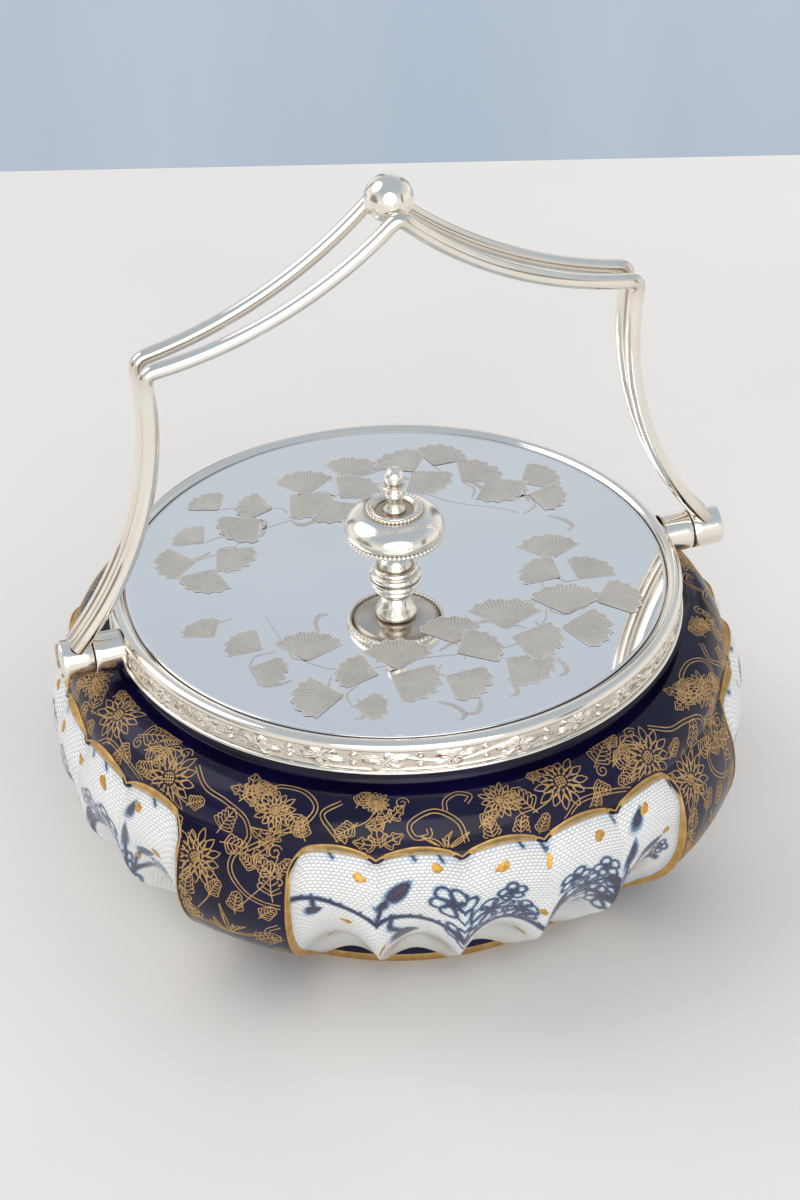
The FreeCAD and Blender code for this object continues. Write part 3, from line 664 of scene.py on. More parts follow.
# Line work: flowers, veined leaves, double scrolls and grasses drawn in fine raised gold
# on the dark ground. It is laid out flat, turn by distance down from the ledge, and then
# wrapped on the bowl.
LINE_WIDTH = 0.27
LINE_RADIUS = 78.0
RIBBON_STEP = 0.45
LOWEST = 69.0
SIDE_CLEARANCE = 0.7
TOP_CLEARANCE = 1.0
drop_levels = np.concatenate([
    LEDGE_LEVEL - ROLL_RADIUS * (1 - np.cos(np.linspace(0, math.pi / 2, 200))),
    np.linspace(ROLL_CENTRE[1], FOOT_RISE + 0.2, 400)[1:]])
drop_radii = outer_radius(drop_levels)


def run_length(*sides):
    """Distance along a line from its start, from its points' two places."""
    return np.concatenate([[0], np.cumsum(np.hypot(*(np.diff(side) for side in sides)))])


drop_distances = run_length(drop_levels, drop_radii)


def on_ground(turn, distance):
    """Radius and level of the ground at a distance down from the ledge."""
    level = np.interp(distance, drop_distances, drop_levels)
    return np.interp(distance, drop_distances, drop_radii), level


def turned_motif(lines, turn, distance, lean, scale=1.0):
    """A motif's lines set down on the ground, leaning by so many degrees."""
    radius, level = on_ground(turn, distance)
    placed = []
    for line in lines:
        across, up = turned(np.asarray(line, float) * scale, math.radians(lean)).T
        placed.append(np.stack([turn + np.degrees(across / radius), distance - up], 1))
    return placed


def flower(petals=13):
    """A full flower seen from above: two rows of pointed petals round a cross hatched eye."""
    lines = []
    for row, (start, end, width) in enumerate(((1.5, 3.9, 0.62), (2.6, 5.6, 0.72))):
        for petal in range(petals):
            middle = 2 * math.pi * (petal + 0.5 * row) / petals
            reach = end * (1 + 0.10 * math.sin(petal * 2.1))
            waist = start + 0.55 * (reach - start)
            half = [(start, 0.35), (waist, 1), (reach, 0.12)]
            loop = [(along, -side) for along, side in half] + half[::-1]
            lines.append(bent_line(turned(np.array(loop) * (1, width), middle), 4))
    for offset in (-0.8, -0.25, 0.3, 0.85):
        half = math.sqrt(1.2 ** 2 - offset ** 2)
        lines.append([(offset, -half), (offset, half)])
        lines.append([(-half, offset), (half, offset)])
    return lines


def leaf(length=5.0, lobes=3):
    """A lobed leaf with a midrib and side veins. Its stalk is at the origin."""
    outline = [(0.0, 0.0)]
    for lobe in range(lobes):
        base = length * (0.12 + 0.72 * lobe / lobes)
        width = length * 0.37 * (1 - 0.5 * lobe / lobes)
        outline += [(base, width * 0.72), (base + length * 0.10, width * 1.05),
                    (base + length * 0.20, width * 0.95), (base + length * 0.24, width * 0.62)]
    outline += [(length, 0.0)]
    outline = np.array(outline)
    mirrored = outline[::-1] * (1, -1)
    lines = [bent_line(np.vstack([outline, mirrored[1:]]), 4)]
    lines.append(bent_line([(-length * 0.2, -0.3), (length * 0.3, 0.1), (length * 0.9, 0.0)], 6))
    for lobe in range(lobes):
        base = length * (0.10 + 0.72 * lobe / lobes)
        width = length * 0.37 * (1 - 0.5 * lobe / lobes)
        for side in (-1, 1):
            lines.append([(base, 0.0), (base + length * 0.16, side * width * 0.7)])
    return lines


def leaf_spray(count=3, length=5.0):
    """Leaves that spread from the end of one stalk."""
    lines = []
    for number in range(count):
        angle = math.radians(90 + 72 * (number - (count - 1) / 2))
        for line in leaf(length * (1 - 0.1 * abs(number - (count - 1) / 2)), 2):
            lines.append(turned(np.asarray(line) + (0.9, 0), angle))
    return lines


def grass(blades=6, length=8.0):
    """Long narrow blades that fan from one root, with a little hatching."""
    lines = []
    for blade in range(blades):
        angle = math.radians(15 + 150 * blade / (blades - 1))
        reach = length * (0.7 + 0.3 * math.sin(blade * 2.2 + 1))
        bow = 0.9 * math.sin(blade * 1.9)
        tip = np.array([math.cos(angle), math.sin(angle)]) * reach
        side = np.array([-math.sin(angle), math.cos(angle)])
        for edge in (-1, 1):
            middle = tip * 0.5 + side * (bow + edge * 0.55)
            lines.append(bent_line([(0, 0), middle, tip], 8))
        lines.append([tuple(tip * 0.15), tuple(tip * 0.75 + side * bow * 0.7)])
    return lines


def curl(radius, turns=1.4):
    """A spiral that winds in to a small round end."""
    way = np.linspace(0, 2 * math.pi * turns, int(28 * turns))
    reach = radius * (1 - way / way[-1]) ** 0.8 + 0.25
    return np.stack([reach * np.cos(way), reach * np.sin(way)], 1)


def doubled(points, gap=0.95):
    """Two lines side by side along a smooth curve of (turn, distance) points."""
    wide = (math.radians(LINE_RADIUS), 1)
    flat = bent_line(points, 12) * wide
    return [(flat + left_of(flat) * gap * way) / wide for way in (-0.5, 0.5)]


def quarter_lines(quarter):
    """The line work of one quarter of the bowl, laid out from its panel's middle. A motif's
    place is its turn, its distance down and its lean."""
    lines = []
    for scroll in (
            [(-42.5, 19.5), (-37.0, 13.6), (-32.7, 9.4), (-31.6, 5.6), (-34.4, 2.4), (-38.8, 2.2),
             (-40.2, 4.2), (-38.4, 5.4)],
            [(-27.2, 4.0), (-30.2, 7.2), (-28.4, 10.8), (-25.6, 15.2)],
            [(-6.1, 14.2), (-7.3, 9.0), (-11.2, 6.0), (-15.3, 8.6), (-14.6, 11.9), (-12.2, 11.6),
             (-12.3, 9.9)],
            [(-9.2, 6.2), (-8.9, 3.6), (-6.6, 2.0), (-4.4, 3.2), (-5.4, 4.9)],
            [(11.2, 14.6), (14.5, 11.4), (20.2, 12.2), (25.0, 14.6), (28.6, 18.0)],
            [(34.4, 4.2), (38.0, 8.0), (42.4, 9.4), (46.6, 12.0), (47.4, 17.0), (45.2, 22.4),
             (45.4, 26.4), (48.0, 30.4), (51.0, 32.0), (54.0, 32.2)],
            [(36.6, 20.0), (39.6, 24.0), (38.4, 29.0), (36.2, 33.0)],
            [(53.6, 38.0), (51.4, 40.6), (52.0, 43.4), (54.0, 42.4)]):
        lines += doubled(scroll)
    for turn, distance, scale, lean in ((12.3, 5.4, 0.92, 0), (30.4, 9.8, 1.0, 20),
                                        (38.6, 22.6 + 3.0 * (quarter % 2), 0.98, 40),
                                        (-21.2, 3.4, 0.42, 0), (0.4, 5.6, 0.62, 30),
                                        (51.6, 8.4, 0.66, 0)):
        lines += turned_motif(flower(), turn, distance, lean, 1.3 * scale)
    for turn, distance, lean, length in (
            (5.8, 9.6, 120, 5.2), (4.0, 7.0, 170, 4.0), (20.3, 4.6, 30, 5.6), (23.6, 6.0, -20, 4.6),
            (42.0, 16.6, 60, 5.2), (43.4, 19.4, 0, 4.6), (-1.6, 14.4, 100, 4.2), (2.9, 16.0, 80, 4.6),
            (6.4, 15.6, 60, 3.6), (-37.6, 29.4, 95, 6.4), (-36.6, 24.0, 60, 3.8), (-40.6, 23.4, 150, 3.6),
            (-24.4, 4.2, 60, 3.6), (-35.4, 8.4, -60, 4.4), (-44.6, 7.4, 40, 5.0), (-43.4, 3.8, 0, 4.0),
            (33.0, 17.4, -70, 4.2), (26.6, 10.6, 190, 4.2), (52.2, 24.2, 140, 4.4), (36.8, 36.4, 80, 5.0),
            (49.2, 45.6, 30, 5.4), (38.6, 44.6, 120, 4.6), (17.0, 15.6, 70, 3.6),
            (-24.6, 9.4, 210, 3.8), (-3.4, 10.4, 30, 3.6), (17.6, 9.6, -30, 3.8), (-39.4, 9.0, 20, 3.4),
            (-33.0, 13.4, 100, 3.8), (24.8, 2.6, 30, 3.4), (7.6, 3.0, 60, 3.2), (35.6, 13.4, 30, 3.6),
            (-44.0, 36.4, 80, 4.4), (50.6, 36.0, 40, 3.8), (41.6, 33.8, 60, 4.0)):
        lines += turned_motif(leaf(1.35 * length, 4), turn, distance, lean)
    for motif, *place in (
            (leaf_spray(3, 6.0), -20.4, 14.0, 10), (leaf_spray(3, 5.0), -18.9, 8.2, 30),
            (leaf_spray(4, 5.6), 46.6, 6.0, -20), (grass(7, 11.0), 44.0, 46.6, 5),
            (grass(5, 7.0), -9.4, 15.6, 20), (grass(5, 7.0), 27.0, 3.6, 200),
            (leaf_spray(3, 5.4), 51.6, 17.0, 60), (leaf_spray(3, 5.4), 37.6, 40.0, 100),
            (grass(5, 6.0), 38.6, 56.0, 60)):
        lines += turned_motif(motif, *place)
    for turn, distance, radius, lean in ((52.6, 50.6, 2.2, 0), (-16.6, 3.6, 1.4, 0), (20.6, 7.0, 1.3, 90),
                                         (-26.6, 12.6, 1.3, 200), (4.0, 12.2, 1.3, 40), (30.6, 2.6, 1.5, 0),
                                         (41.4, 27.6, 1.8, 120), (-37.6, 18.6, 1.6, 30)):
        lines += turned_motif([curl(radius)], turn, distance, lean)
    for stem in ([(-25.0, 9.8), (-22.4, 8.0), (-20.8, 4.6)], [(-2.8, 10.8), (0.0, 8.4), (0.4, 6.6)],
                 [(5.6, 10.4), (9.4, 8.6), (12.0, 6.4)], [(17.6, 9.8), (15.6, 8.6), (13.6, 6.6)],
                 [(24.8, 11.6), (27.6, 11.6), (30.0, 10.4)], [(35.4, 13.6), (33.6, 12.8), (31.6, 11.0)],
                 [(-44.0, 36.4), (-41.0, 31.0), (-38.0, 25.0), (-37.0, 19.6)],
                 [(38.8, 24.0), (40.6, 29.0), (41.6, 33.8), (39.0, 40.0)],
                 [(46.0, 7.4), (48.8, 8.0), (51.0, 8.4)], [(-34.4, 12.6), (-38.4, 13.4), (-42.4, 13.6)]):
        lines.append(bent_line(stem, 10))
    return lines


def ribbons(lines):
    """Low rounded ribbons of gold along the lines, left out where a panel lies."""
    scale = math.radians(LINE_RADIUS)
    strips = []
    for line in lines:
        line = np.asarray(line, float)
        reach = run_length(line[:, 0] * scale, line[:, 1])
        count = max(int(reach[-1] / RIBBON_STEP), 2)
        places = np.linspace(0, reach[-1], count + 1)
        turn = np.interp(places, reach, line[:, 0])
        distance = np.clip(np.interp(places, reach, line[:, 1]), 0.5, LOWEST)
        radius, level = on_ground(turn, distance)
        local = np.mod(turn + 45, 90) - 45
        edge = panel_edge(np.clip(local, -HALF_SPAN, HALF_SPAN))
        clear = (np.abs(local) > HALF_SPAN + SIDE_CLEARANCE) | (level > edge + TOP_CLEARANCE)
        side = left_of(np.stack([turn * scale, distance], 1))
        grid = []
        for way, lift in ((-0.5, 0.02), (-0.25, 0.065), (0.25, 0.065), (0.5, 0.02)):
            shifted_turn = turn + side[:, 0] * way * LINE_WIDTH / scale
            shifted = np.clip(distance + side[:, 1] * way * LINE_WIDTH, 0.3, LOWEST + 1)
            radius, level = on_ground(shifted_turn, shifted)
            slope_r, slope_z = on_ground(shifted_turn, shifted + 0.3)
            slope = np.stack([slope_r - radius, slope_z - level], 1)
            slope /= np.linalg.norm(slope, axis=1)[:, None] + 1e-9
            grid.append(round_point(shifted_turn, radius - slope[:, 1] * lift, level + slope[:, 0] * lift))
        grid = np.stack(grid, 1)
        for step in range(count):
            if clear[step] and clear[step + 1]:
                strips.append(grid[step:step + 2])
    return strips


tracery_gold = Finish("tracery_gilding", roughness=0.5, metallic=0.6)
tracery_gold.colour(tracery_gold.cloud(500.0, 0.3, 0.7), (0.58, 0.375, 0.16), (0.42, 0.25, 0.10))
tracery_gold.bump(tracery_gold.noise(2400.0, 2.0), 0.00004, 0.4)
tracery_lines = [np.asarray(line) + (90 * quarter, 0)
                 for quarter in range(4) for line in quarter_lines(quarter)]
gold_tracery = sheet("gold_tracery", ribbons(tracery_lines), tracery_gold)
stand_for(gold_tracery, "porcelain_bowl", "jar")


# Plaster bed: a ring of set plaster between the neck and the collar, hidden but for the
# open jar's edge.
def refinish(node, finish):
    """Gives a better finish to a CAD piece whose shape is right as it is."""
    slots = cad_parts[node].data.materials
    slots.clear()
    slots.append(finish.material)


plaster = Finish("set_plaster", roughness=0.9)
chalk = plaster.cloud(300.0, 0.3, 0.7, 4.0)
plaster.colour(chalk, (0.76, 0.73, 0.67), (0.60, 0.57, 0.50))
plaster.bump(chalk, 0.0001, 0.5)
refinish("collar_plaster_bed", plaster)


# Collar: silver plated band rolled with a vine of leaves in relief, a plain bead along
# its top, a thin wire below and the flat ring inside that carries the lid.
def silver(name, roughness, tarnish_and_shade_strength=0.5):
    """Polished silver plate, a little warm, darkened where its points are marked: tarnish in its hollows,
    and painted shade on undersides, between parts that touch and on the steep sides of relief.
    """
    finish = Finish(name, metallic=1.0)
    # Painted shade and tarnish: the marked points are mixed toward dark brown.
    shade = finish.mark("recess") * tarnish_and_shade_strength
    bright = finish.mix(finish.cloud(110.0, 0.35, 0.75, 4.0), (0.94, 0.895, 0.82), (0.90, 0.83, 0.735))
    finish.colour(shade, bright, (0.34, 0.245, 0.155))
    rub = finish.noise(600.0, 3.0, (1.0, 1.0, 3.0))
    finish.feed("Roughness", finish.spread(rub, 0.3, 0.8, roughness, roughness * 1.8) + shade * 0.2)
    finish.bump(finish.noise(90.0, 2.0), 0.00005, 0.25)
    return finish


COLLAR_RADIUS = 69.8
BAND_FOOT = 66.8
BAND_TOP = 72.2
BAND_SINK = 0.87
BAND_RELIEF = 0.85
LEAF_REPEATS = 28
LEAF_STEPS = 56
band_silver = silver("embossed_silver", 0.14, 0.8)
band_turns = np.degrees(circle(LEAF_REPEATS * LEAF_STEPS))
band_levels = np.linspace(BAND_FOOT, BAND_TOP, 27)
band_x = np.radians(band_turns)[:, None] * COLLAR_RADIUS
band_y = (band_levels - (BAND_FOOT + BAND_TOP) / 2)[None, :]
pitch = 2 * math.pi * COLLAR_RADIUS / LEAF_REPEATS
cell = np.floor(band_x / pitch)
relief = np.zeros((len(band_turns), len(band_levels)))
for neighbour in (-1, 0, 1):
    number = cell + neighbour
    way = np.where(np.mod(number, 2) == 0, 1.0, -1.0)
    x = band_x - (number + 0.5) * pitch
    y = (band_y + 0.3 * way) * way
    lean = 0.25 * np.sin(number * 2.4)
    x, y = x * np.cos(lean) - y * np.sin(lean), x * np.sin(lean) + y * np.cos(lean)
    reach = np.hypot(x * 0.5, y)
    turn = np.arctan2(y, x * 0.5) - math.pi / 2
    points = 1.5 + 1.5 * np.abs(np.cos(2.5 * turn)) ** 0.8
    inside = np.clip(1 - reach / points, 0, 1)
    veins = 0.30 * np.clip(1 - np.abs(np.sin(2.5 * turn)) * 5, 0, 1) * (inside > 0)
    leaf_height = np.minimum(inside * 3.2, 1.0) * (0.62 + 0.14 * np.cos(10 * turn) + veins)
    between = band_x - (number + 1.0) * pitch
    berry = np.hypot(between, band_y - 1.15 * way) / 0.75
    bud = np.hypot(between * 0.7, band_y + 1.35 * way) / 0.6
    for height in (leaf_height, 0.85 * np.sqrt(np.clip(1 - berry ** 2, 0, 1)),
                   0.7 * np.sqrt(np.clip(1 - bud ** 2, 0, 1))):
        relief = np.maximum(relief, height)
stem = np.abs(band_y - 1.1 * np.sin(math.pi * band_x / pitch))
relief = np.maximum(relief, 0.55 * np.clip(1 - (stem / 0.32) ** 2, 0, 1))
border = smooth(np.abs(band_y), 2.4, 2.62)
relief = np.maximum(relief * (1 - border), border * 0.35)
band_radii = COLLAR_RADIUS - BAND_SINK + BAND_RELIEF * relief
# Painted shade on the steep sides of the leaves, and tarnish on the low ground between them, darken the
# band.
steepness = np.hypot(*np.gradient(relief, pitch / LEAF_STEPS, band_levels[1] - band_levels[0]))
band_tarnish_and_shade = 0.30 * np.clip(1 - relief * 1.9, 0, 1) + 0.55 * smooth(steepness, 0.5, 2.2)
band_grid = round_point(band_turns[:, None], band_radii, band_levels[None, :])
collar_band = sheet("collar_band_relief", band_grid, band_silver, around=True,
                    marks={"recess": band_tarnish_and_shade})
stand_for(collar_band, "collar_band", "jar")


def lathe(name, profile, finish, body, node, recess, steps, side=0):
    """A turned piece from its (radius, height) profile, about the jar's upright axis, or about the handle's
    pivot axis where a side of 1 or -1 is given. The darkening list gives how dark the silver is at each
    point of the profile: tarnish in its hollows and painted shade under and between parts."""
    radius, height = np.array(profile).T
    turns = circle(steps)[:, None]
    first, second = radius * np.cos(turns), radius * np.sin(turns)
    if side:
        places = (side * height, side * first, PIVOT_LEVEL + second)
    else:
        places = (first, second, height)
    grid = np.stack(np.broadcast_arrays(*places), -1)
    piece = sheet(name, grid, finish, around=True,
                  marks={"recess": np.broadcast_to(recess, grid.shape[:2])})
    stand_for(piece, node, body)


bright_silver = silver("polished_silver", 0.06, 0.6)
# The bead, wire and seat ring are darkened with painted shade and tarnish on their inner sides and
# undersides, where they meet the band and the lid.
bead_profile = ([(66.25, 72.3), (66.25, 73.45), (66.3, 73.55)] + arc((68.05, 72.55), 1.75, 145, 0, 18)
                + [(69.8, 72.45), (69.75, 72.25), (69.2, 72.2)])
lathe("collar_bead", bead_profile, bright_silver, "jar", "collar_top_bead",
      recess=[1.0, 0.7, 0.3] + [0.0] * 17 + [0.2, 0.5, 1.0, 1.0], steps=360)
wire_profile = arc((69.5, 66.2), 0.6, -180, 180, 21)
lathe("collar_wire", wire_profile, bright_silver, "jar", "collar_bottom_wire",
      recess=[0.6] * 5 + [0.0] * 11 + [0.6] * 5, steps=360)
seat_profile = [(62.5, 71.1), (62.5, 72.05), (62.65, 72.2), (68.9, 72.2), (68.9, 71.0),
                (62.65, 71.0), (62.5, 71.1)]
lathe("lid_seat", seat_profile, bright_silver, "jar", "lid_seat_ring",
      recess=[0.4] * 7, steps=240)

# Handle mounts: short silver tubes soldered to the collar, the riveted pins through
# them, and the barrels of the handle that turn on the pins, closed by rimmed discs.
PIVOT_LEVEL = 69.4
TUBE_RADIUS = 4.9
PIN_HOLE = 1.65
mount_silver = silver("mount_silver", 0.09, 0.75)
for name, side in (("left", -1), ("right", 1)):
    lug_rows = []
    for angle in circle(72):
        y, up = math.cos(angle), math.sin(angle)
        root = math.sqrt(COLLAR_RADIUS ** 2 - (TUBE_RADIUS * y) ** 2) - 0.25
        # The tube is darkened with painted shade and tarnish where it meets the collar, on its end face and
        # in the pin hole.
        row = [(root, TUBE_RADIUS, 1.0), (root + 0.25, TUBE_RADIUS, 0.8),
               (root + 0.8, TUBE_RADIUS, 0.0), (75.6, TUBE_RADIUS, 0.0), (76.7, TUBE_RADIUS, 0.0),
               (76.95, TUBE_RADIUS - 0.1, 0.3), (77.0, TUBE_RADIUS - 0.35, 1.0), (77.0, PIN_HOLE, 1.0)]
        lug_rows.append([(side * x, side * r * y, PIVOT_LEVEL + r * up, tone) for x, r, tone in row])
    lug_rows = np.array(lug_rows)
    lug = sheet(name + "_lug_tube", lug_rows[:, :, :3], mount_silver, around=True,
                marks={"recess": lug_rows[:, :, 3]})
    stand_for(lug, name + "_lug", "jar")
    # The barrel and its disc are darkened with painted shade and tarnish at their ends and rims.
    tube = [(TUBE_RADIUS, reach) for reach in (77.6, 79.4, 81.6, 83.6, 84.55)]
    barrel_profile = ([(PIN_HOLE, 77.3), (4.55, 77.3), (4.8, 77.35)] + tube
                      + [(4.8, 84.82), (4.6, 84.9), (4.3, 84.86), (4.12, 84.7), (4.12, 84.2),
                         (PIN_HOLE, 84.1), (PIN_HOLE, 77.3)])
    lathe(name + "_barrel_tube", barrel_profile, mount_silver, "handle", name + "_barrel",
          recess=[1, 1, 0.5, 0, 0, 0, 0, 0, 0, 0, 0.1, 0.9, 1, 1, 1], steps=96,
          side=side)
    disc_profile = [(4.08, 84.15), (4.08, 84.42), (3.9, 84.5), (3.3, 84.52), (1.2, 84.46), (0.0, 84.44)]
    lathe(name + "_end_disc", disc_profile, mount_silver, "handle", name + "_barrel_disc",
          recess=[1.0, 0.9, 0.5, 0.15, 0.05, 0.05], steps=72, side=side)
    refinish(name + "_pivot_pin", mount_silver)


# Handle: two rods of plated wire bent alike, side by side, soldered to the barrels at
# their feet. They part at the peak and hold a ball between them.
ROD_RADIUS = 1.9
ROD_TURN = 2.3
ROD_FOOT = (81.0, 73.0)
ROD_CORNER = (61.0, 145.8)


def arc_through(start, middle, end, count):
    """Points along the circle arc through three points."""
    start, middle, end = (np.array(p, float) for p in (start, middle, end))
    first, second = middle - start, end - start
    normal = np.cross(first, second)
    centre = start + (np.cross(normal, first) * second.dot(second)
                      + np.cross(second, normal) * first.dot(first)) / (2 * normal.dot(normal))
    out = start - centre
    radius = np.linalg.norm(out)
    out /= radius
    normal /= np.linalg.norm(normal)
    side = np.cross(normal, out)
    last = end - centre
    angle = math.atan2(last.dot(side), last.dot(out)) % (2 * math.pi)
    angles = np.linspace(0, angle, count)[:, None]
    return centre + radius * (out * np.cos(angles) + side * np.sin(angles))


def eased_corner(before, after, reach):
    """Joins two stretches with a small round bend in place of their sharp corner."""
    corner = before[-1]
    kept_before = before[np.linalg.norm(before - corner, axis=1) > reach]
    kept_after = after[np.linalg.norm(after - corner, axis=1) > reach]
    share = np.linspace(0, 1, 9)[1:-1, None]
    bend = ((1 - share) ** 2 * kept_before[-1] + 2 * share * (1 - share) * corner
            + share ** 2 * kept_after[0])
    return np.vstack([kept_before, bend, kept_after])


def rod_path(face):
    """The centre line of one rod: up the left arm, over the arch and down the right."""
    halves = []
    for side in (-1, 1):
        foot = (side * ROD_FOOT[0], face * 2.0, ROD_FOOT[1])
        corner = (side * ROD_CORNER[0], face * 3.4, ROD_CORNER[1])
        peak = (0.0, face * 7.0, 176.6)
        arm = arc_through(foot, (side * 62.2, face * 2.7, 110.6), corner, 60)
        arch = arc_through(corner, (side * 32.8, face * 5.2, 154.0), peak, 50)
        halves.append(eased_corner(arm, arch, ROD_TURN))
    return eased_corner(halves[0], halves[1][::-1], ROD_TURN)


def rod_skin(path, radius, steps=28):
    """A round rod along a path."""
    along = np.gradient(path, axis=0)
    along /= np.linalg.norm(along, axis=1)[:, None]
    side = np.cross(along, (0.0, 1.0, 0.0))
    side /= np.linalg.norm(side, axis=1)[:, None]
    other = np.cross(side, along)
    way = circle(steps)[:, None, None]
    return path[None] + radius * (np.cos(way) * side[None] + np.sin(way) * other[None])


rod_silver = silver("rod_silver", 0.07, 0.7)
for name, face in (("front", -1), ("back", 1)):
    path = rod_path(face)
    skin = rod_skin(path, ROD_RADIUS)
    # Painted shade darkens each rod on the side that faces the other rod, and painted shade with tarnish
    # where it meets the barrels and the ball and at its corners.
    near_foot = np.exp(-((path[:, 2] - ROD_FOOT[1]) / 3.0) ** 2)
    from_corner = np.hypot(np.abs(path[:, 0]) - ROD_CORNER[0], path[:, 2] - ROD_CORNER[1])
    near_corner = np.exp(-(from_corner / 3.0) ** 2)
    near_ball = np.exp(-(np.abs(path[:, 0]) / 4.0) ** 2)
    inner = np.clip((skin[:, :, 1] - path[None, :, 1]) * -face / ROD_RADIUS - 0.75, 0, 1) * 2.2
    shade = np.clip(0.55 * near_foot + 0.35 * near_corner + 0.3 * near_ball + inner, 0, 1)
    rod = sheet("handle_%s_wire" % name, skin, rod_silver, around=True, marks={"recess": shade})
    stand_for(rod, "handle_%s_rod" % name, "handle")

BALL_RADIUS = 5.8
ball_profile = [(BALL_RADIUS * math.sin(a), 178.0 - BALL_RADIUS * math.cos(a))
                for a in np.linspace(0, math.pi, 49)]
# The ball's underside, between the rods, is darkened with painted shade.
lathe("handle_knob", ball_profile, rod_silver, "handle", "handle_ball",
      recess=[0.35] * 6 + [0.12] * 6 + [0.0] * 37, steps=96)


# Lid: a flat plate polished to a mirror, rubbed bright at its edge, with sprays of fan
# shaped leaves cut into its face. A ring under it centres it in the collar.
PLATE_LEVEL = 73.72
STUD_HOLE = 1.55
mirror = Finish("mirror_plate", metallic=1.0)
hairlines = mirror.noise(220.0, 5.0, (1.0, 0.12, 1.0))
mirror.feed("Roughness", mirror.spread(hairlines, 0.3, 0.8, 0.025, 0.075))
plate_tone = mirror.mix(mirror.cloud(35.0, 0.3, 0.75), (0.95, 0.95, 0.955), (0.91, 0.915, 0.925))
# Painted shade and tarnish darken the marked points: the plate's outer edge and underside, and the ends of
# the ring under it.
mirror.colour(mirror.mark("recess") * 0.8, plate_tone, (0.25, 0.22, 0.18))
mirror.bump(mirror.noise(26.0, 1.0), 0.00006, 0.10)
plate_profile = ([(STUD_HOLE, 72.2), (60.0, 72.2), (65.4, 72.2), (65.75, 72.4), (65.8, 73.0),
                  (65.8, 73.45), (65.72, 73.68), (65.5, 73.82), (65.3, 73.82), (65.15, 73.76)]
                 + [(radius, PLATE_LEVEL) for radius in (65.05, 65.0, 64.8, 60.0, 20.0, STUD_HOLE)])
lathe("lid_mirror_plate", plate_profile, mirror, "lid", "lid_plate",
      recess=[0.5, 0.5, 0.8, 0.9, 0.7, 0.4, 0.1, 0.0, 0.0, 0.15] + [0.0] * 6, steps=360)
ring_profile = [(60.0, 72.2), (60.0, 68.5), (60.2, 68.2), (61.6, 68.2), (61.8, 68.5), (61.8, 72.2)]
lathe("lid_ring", ring_profile, bright_silver, "lid", "lid_locating_ring",
      recess=[0.6, 0.4, 0.2, 0.2, 0.3, 0.7], steps=240)

# Cut leaves: the graver's strokes fan out over each leaf and leave it matt against the
# mirror. Each is (x, y, way it opens in degrees, width). Leaves that cross lie at levels
# a few thousandths apart, so that one covers the other.
CUT_LEVEL = PLATE_LEVEL + 0.025
LEVEL_STEP = 0.003
cut = Finish("cut_silver", metallic=0.75)
strokes = cut.node("ShaderNodeMath", {"operation": "SINE"}, {0: cut.mark("fan") * 64.0})
strokes = cut.spread(strokes + (cut.noise(900.0, 3.0) - 0.5) * 2.2, -0.8, 1.0)
cut_tone = cut.mix(cut.cloud(120.0, 0.3, 0.7), (0.63, 0.585, 0.52), (0.50, 0.47, 0.425))
cut_tone = cut.mix(strokes * 0.6, cut_tone, (0.82, 0.78, 0.72))
cut_tone = cut.mix(cut.mark("rim") * 0.8, cut_tone, (0.97, 0.94, 0.90))
cut.feed("Base Color", cut_tone)
cut.feed("Roughness", cut.spread(strokes, 0.0, 1.0, 0.5, 0.3))
cut.bump(strokes, 0.00008, 0.6)
FAN_LEAVES = [
    (-50.7, -5.0, 110, 9), (-43.2, -14.4, 130, 10), (-28.8, -20.3, 70, 13), (-40.9, -27.5, -35, 10),
    (-22.1, -34.5, 145, 11), (-34.2, -41.0, 165, 13), (-22.7, -49.1, -20, 9), (-10.1, -30.8, 70, 13),
    (-10.0, -43.7, -45, 13), (1.6, -48.1, -45, 12), (4.8, -25.8, 80, 12), (9.0, -34.9, 10, 12),
    (19.5, -23.7, 70, 14), (16.9, -47.4, -55, 13), (23.1, -37.9, -35, 13), (36.2, -37.1, -22, 13),
    (35.4, -23.4, 70, 14), (47.7, -27.5, 0, 12), (45.6, -13.4, 40, 11), (39.5, -0.8, 75, 12),
    (33.7, -10.4, 130, 11), (-33.5, 47.3, 110, 9), (-23.3, 41.4, 150, 10), (-7.7, 47.9, 80, 12),
    (6.0, 49.7, 60, 12), (3.9, 40.5, 30, 12), (-9.9, 37.4, -60, 12), (-4.6, 32.0, -80, 11),
    (-29.3, 33.1, 200, 12), (-42.0, 34.0, 120, 9), (-49.3, 24.0, 170, 11), (-34.7, 20.9, -60, 11),
    (-44.3, 13.8, 230, 11), (18.5, 48.5, 100, 12), (29.0, 47.6, 50, 11), (21.6, 36.9, -70, 12),
    (35.0, 36.8, 30, 12), (48.9, 29.1, 10, 11), (37.5, 26.9, -80, 12), (47.7, 19.6, -30, 10)]
FAN_HALF = math.radians(50)
FAN_STEPS = 37
FAN_PARTS = np.array((0.04, 0.3, 0.6, 0.95, 1.0))


def fan_apex(x, y, middle, length):
    """The pointed foot of a leaf, from the leaf's middle."""
    return np.array((x, y)) - 0.55 * length * np.array((math.cos(middle), math.sin(middle)))


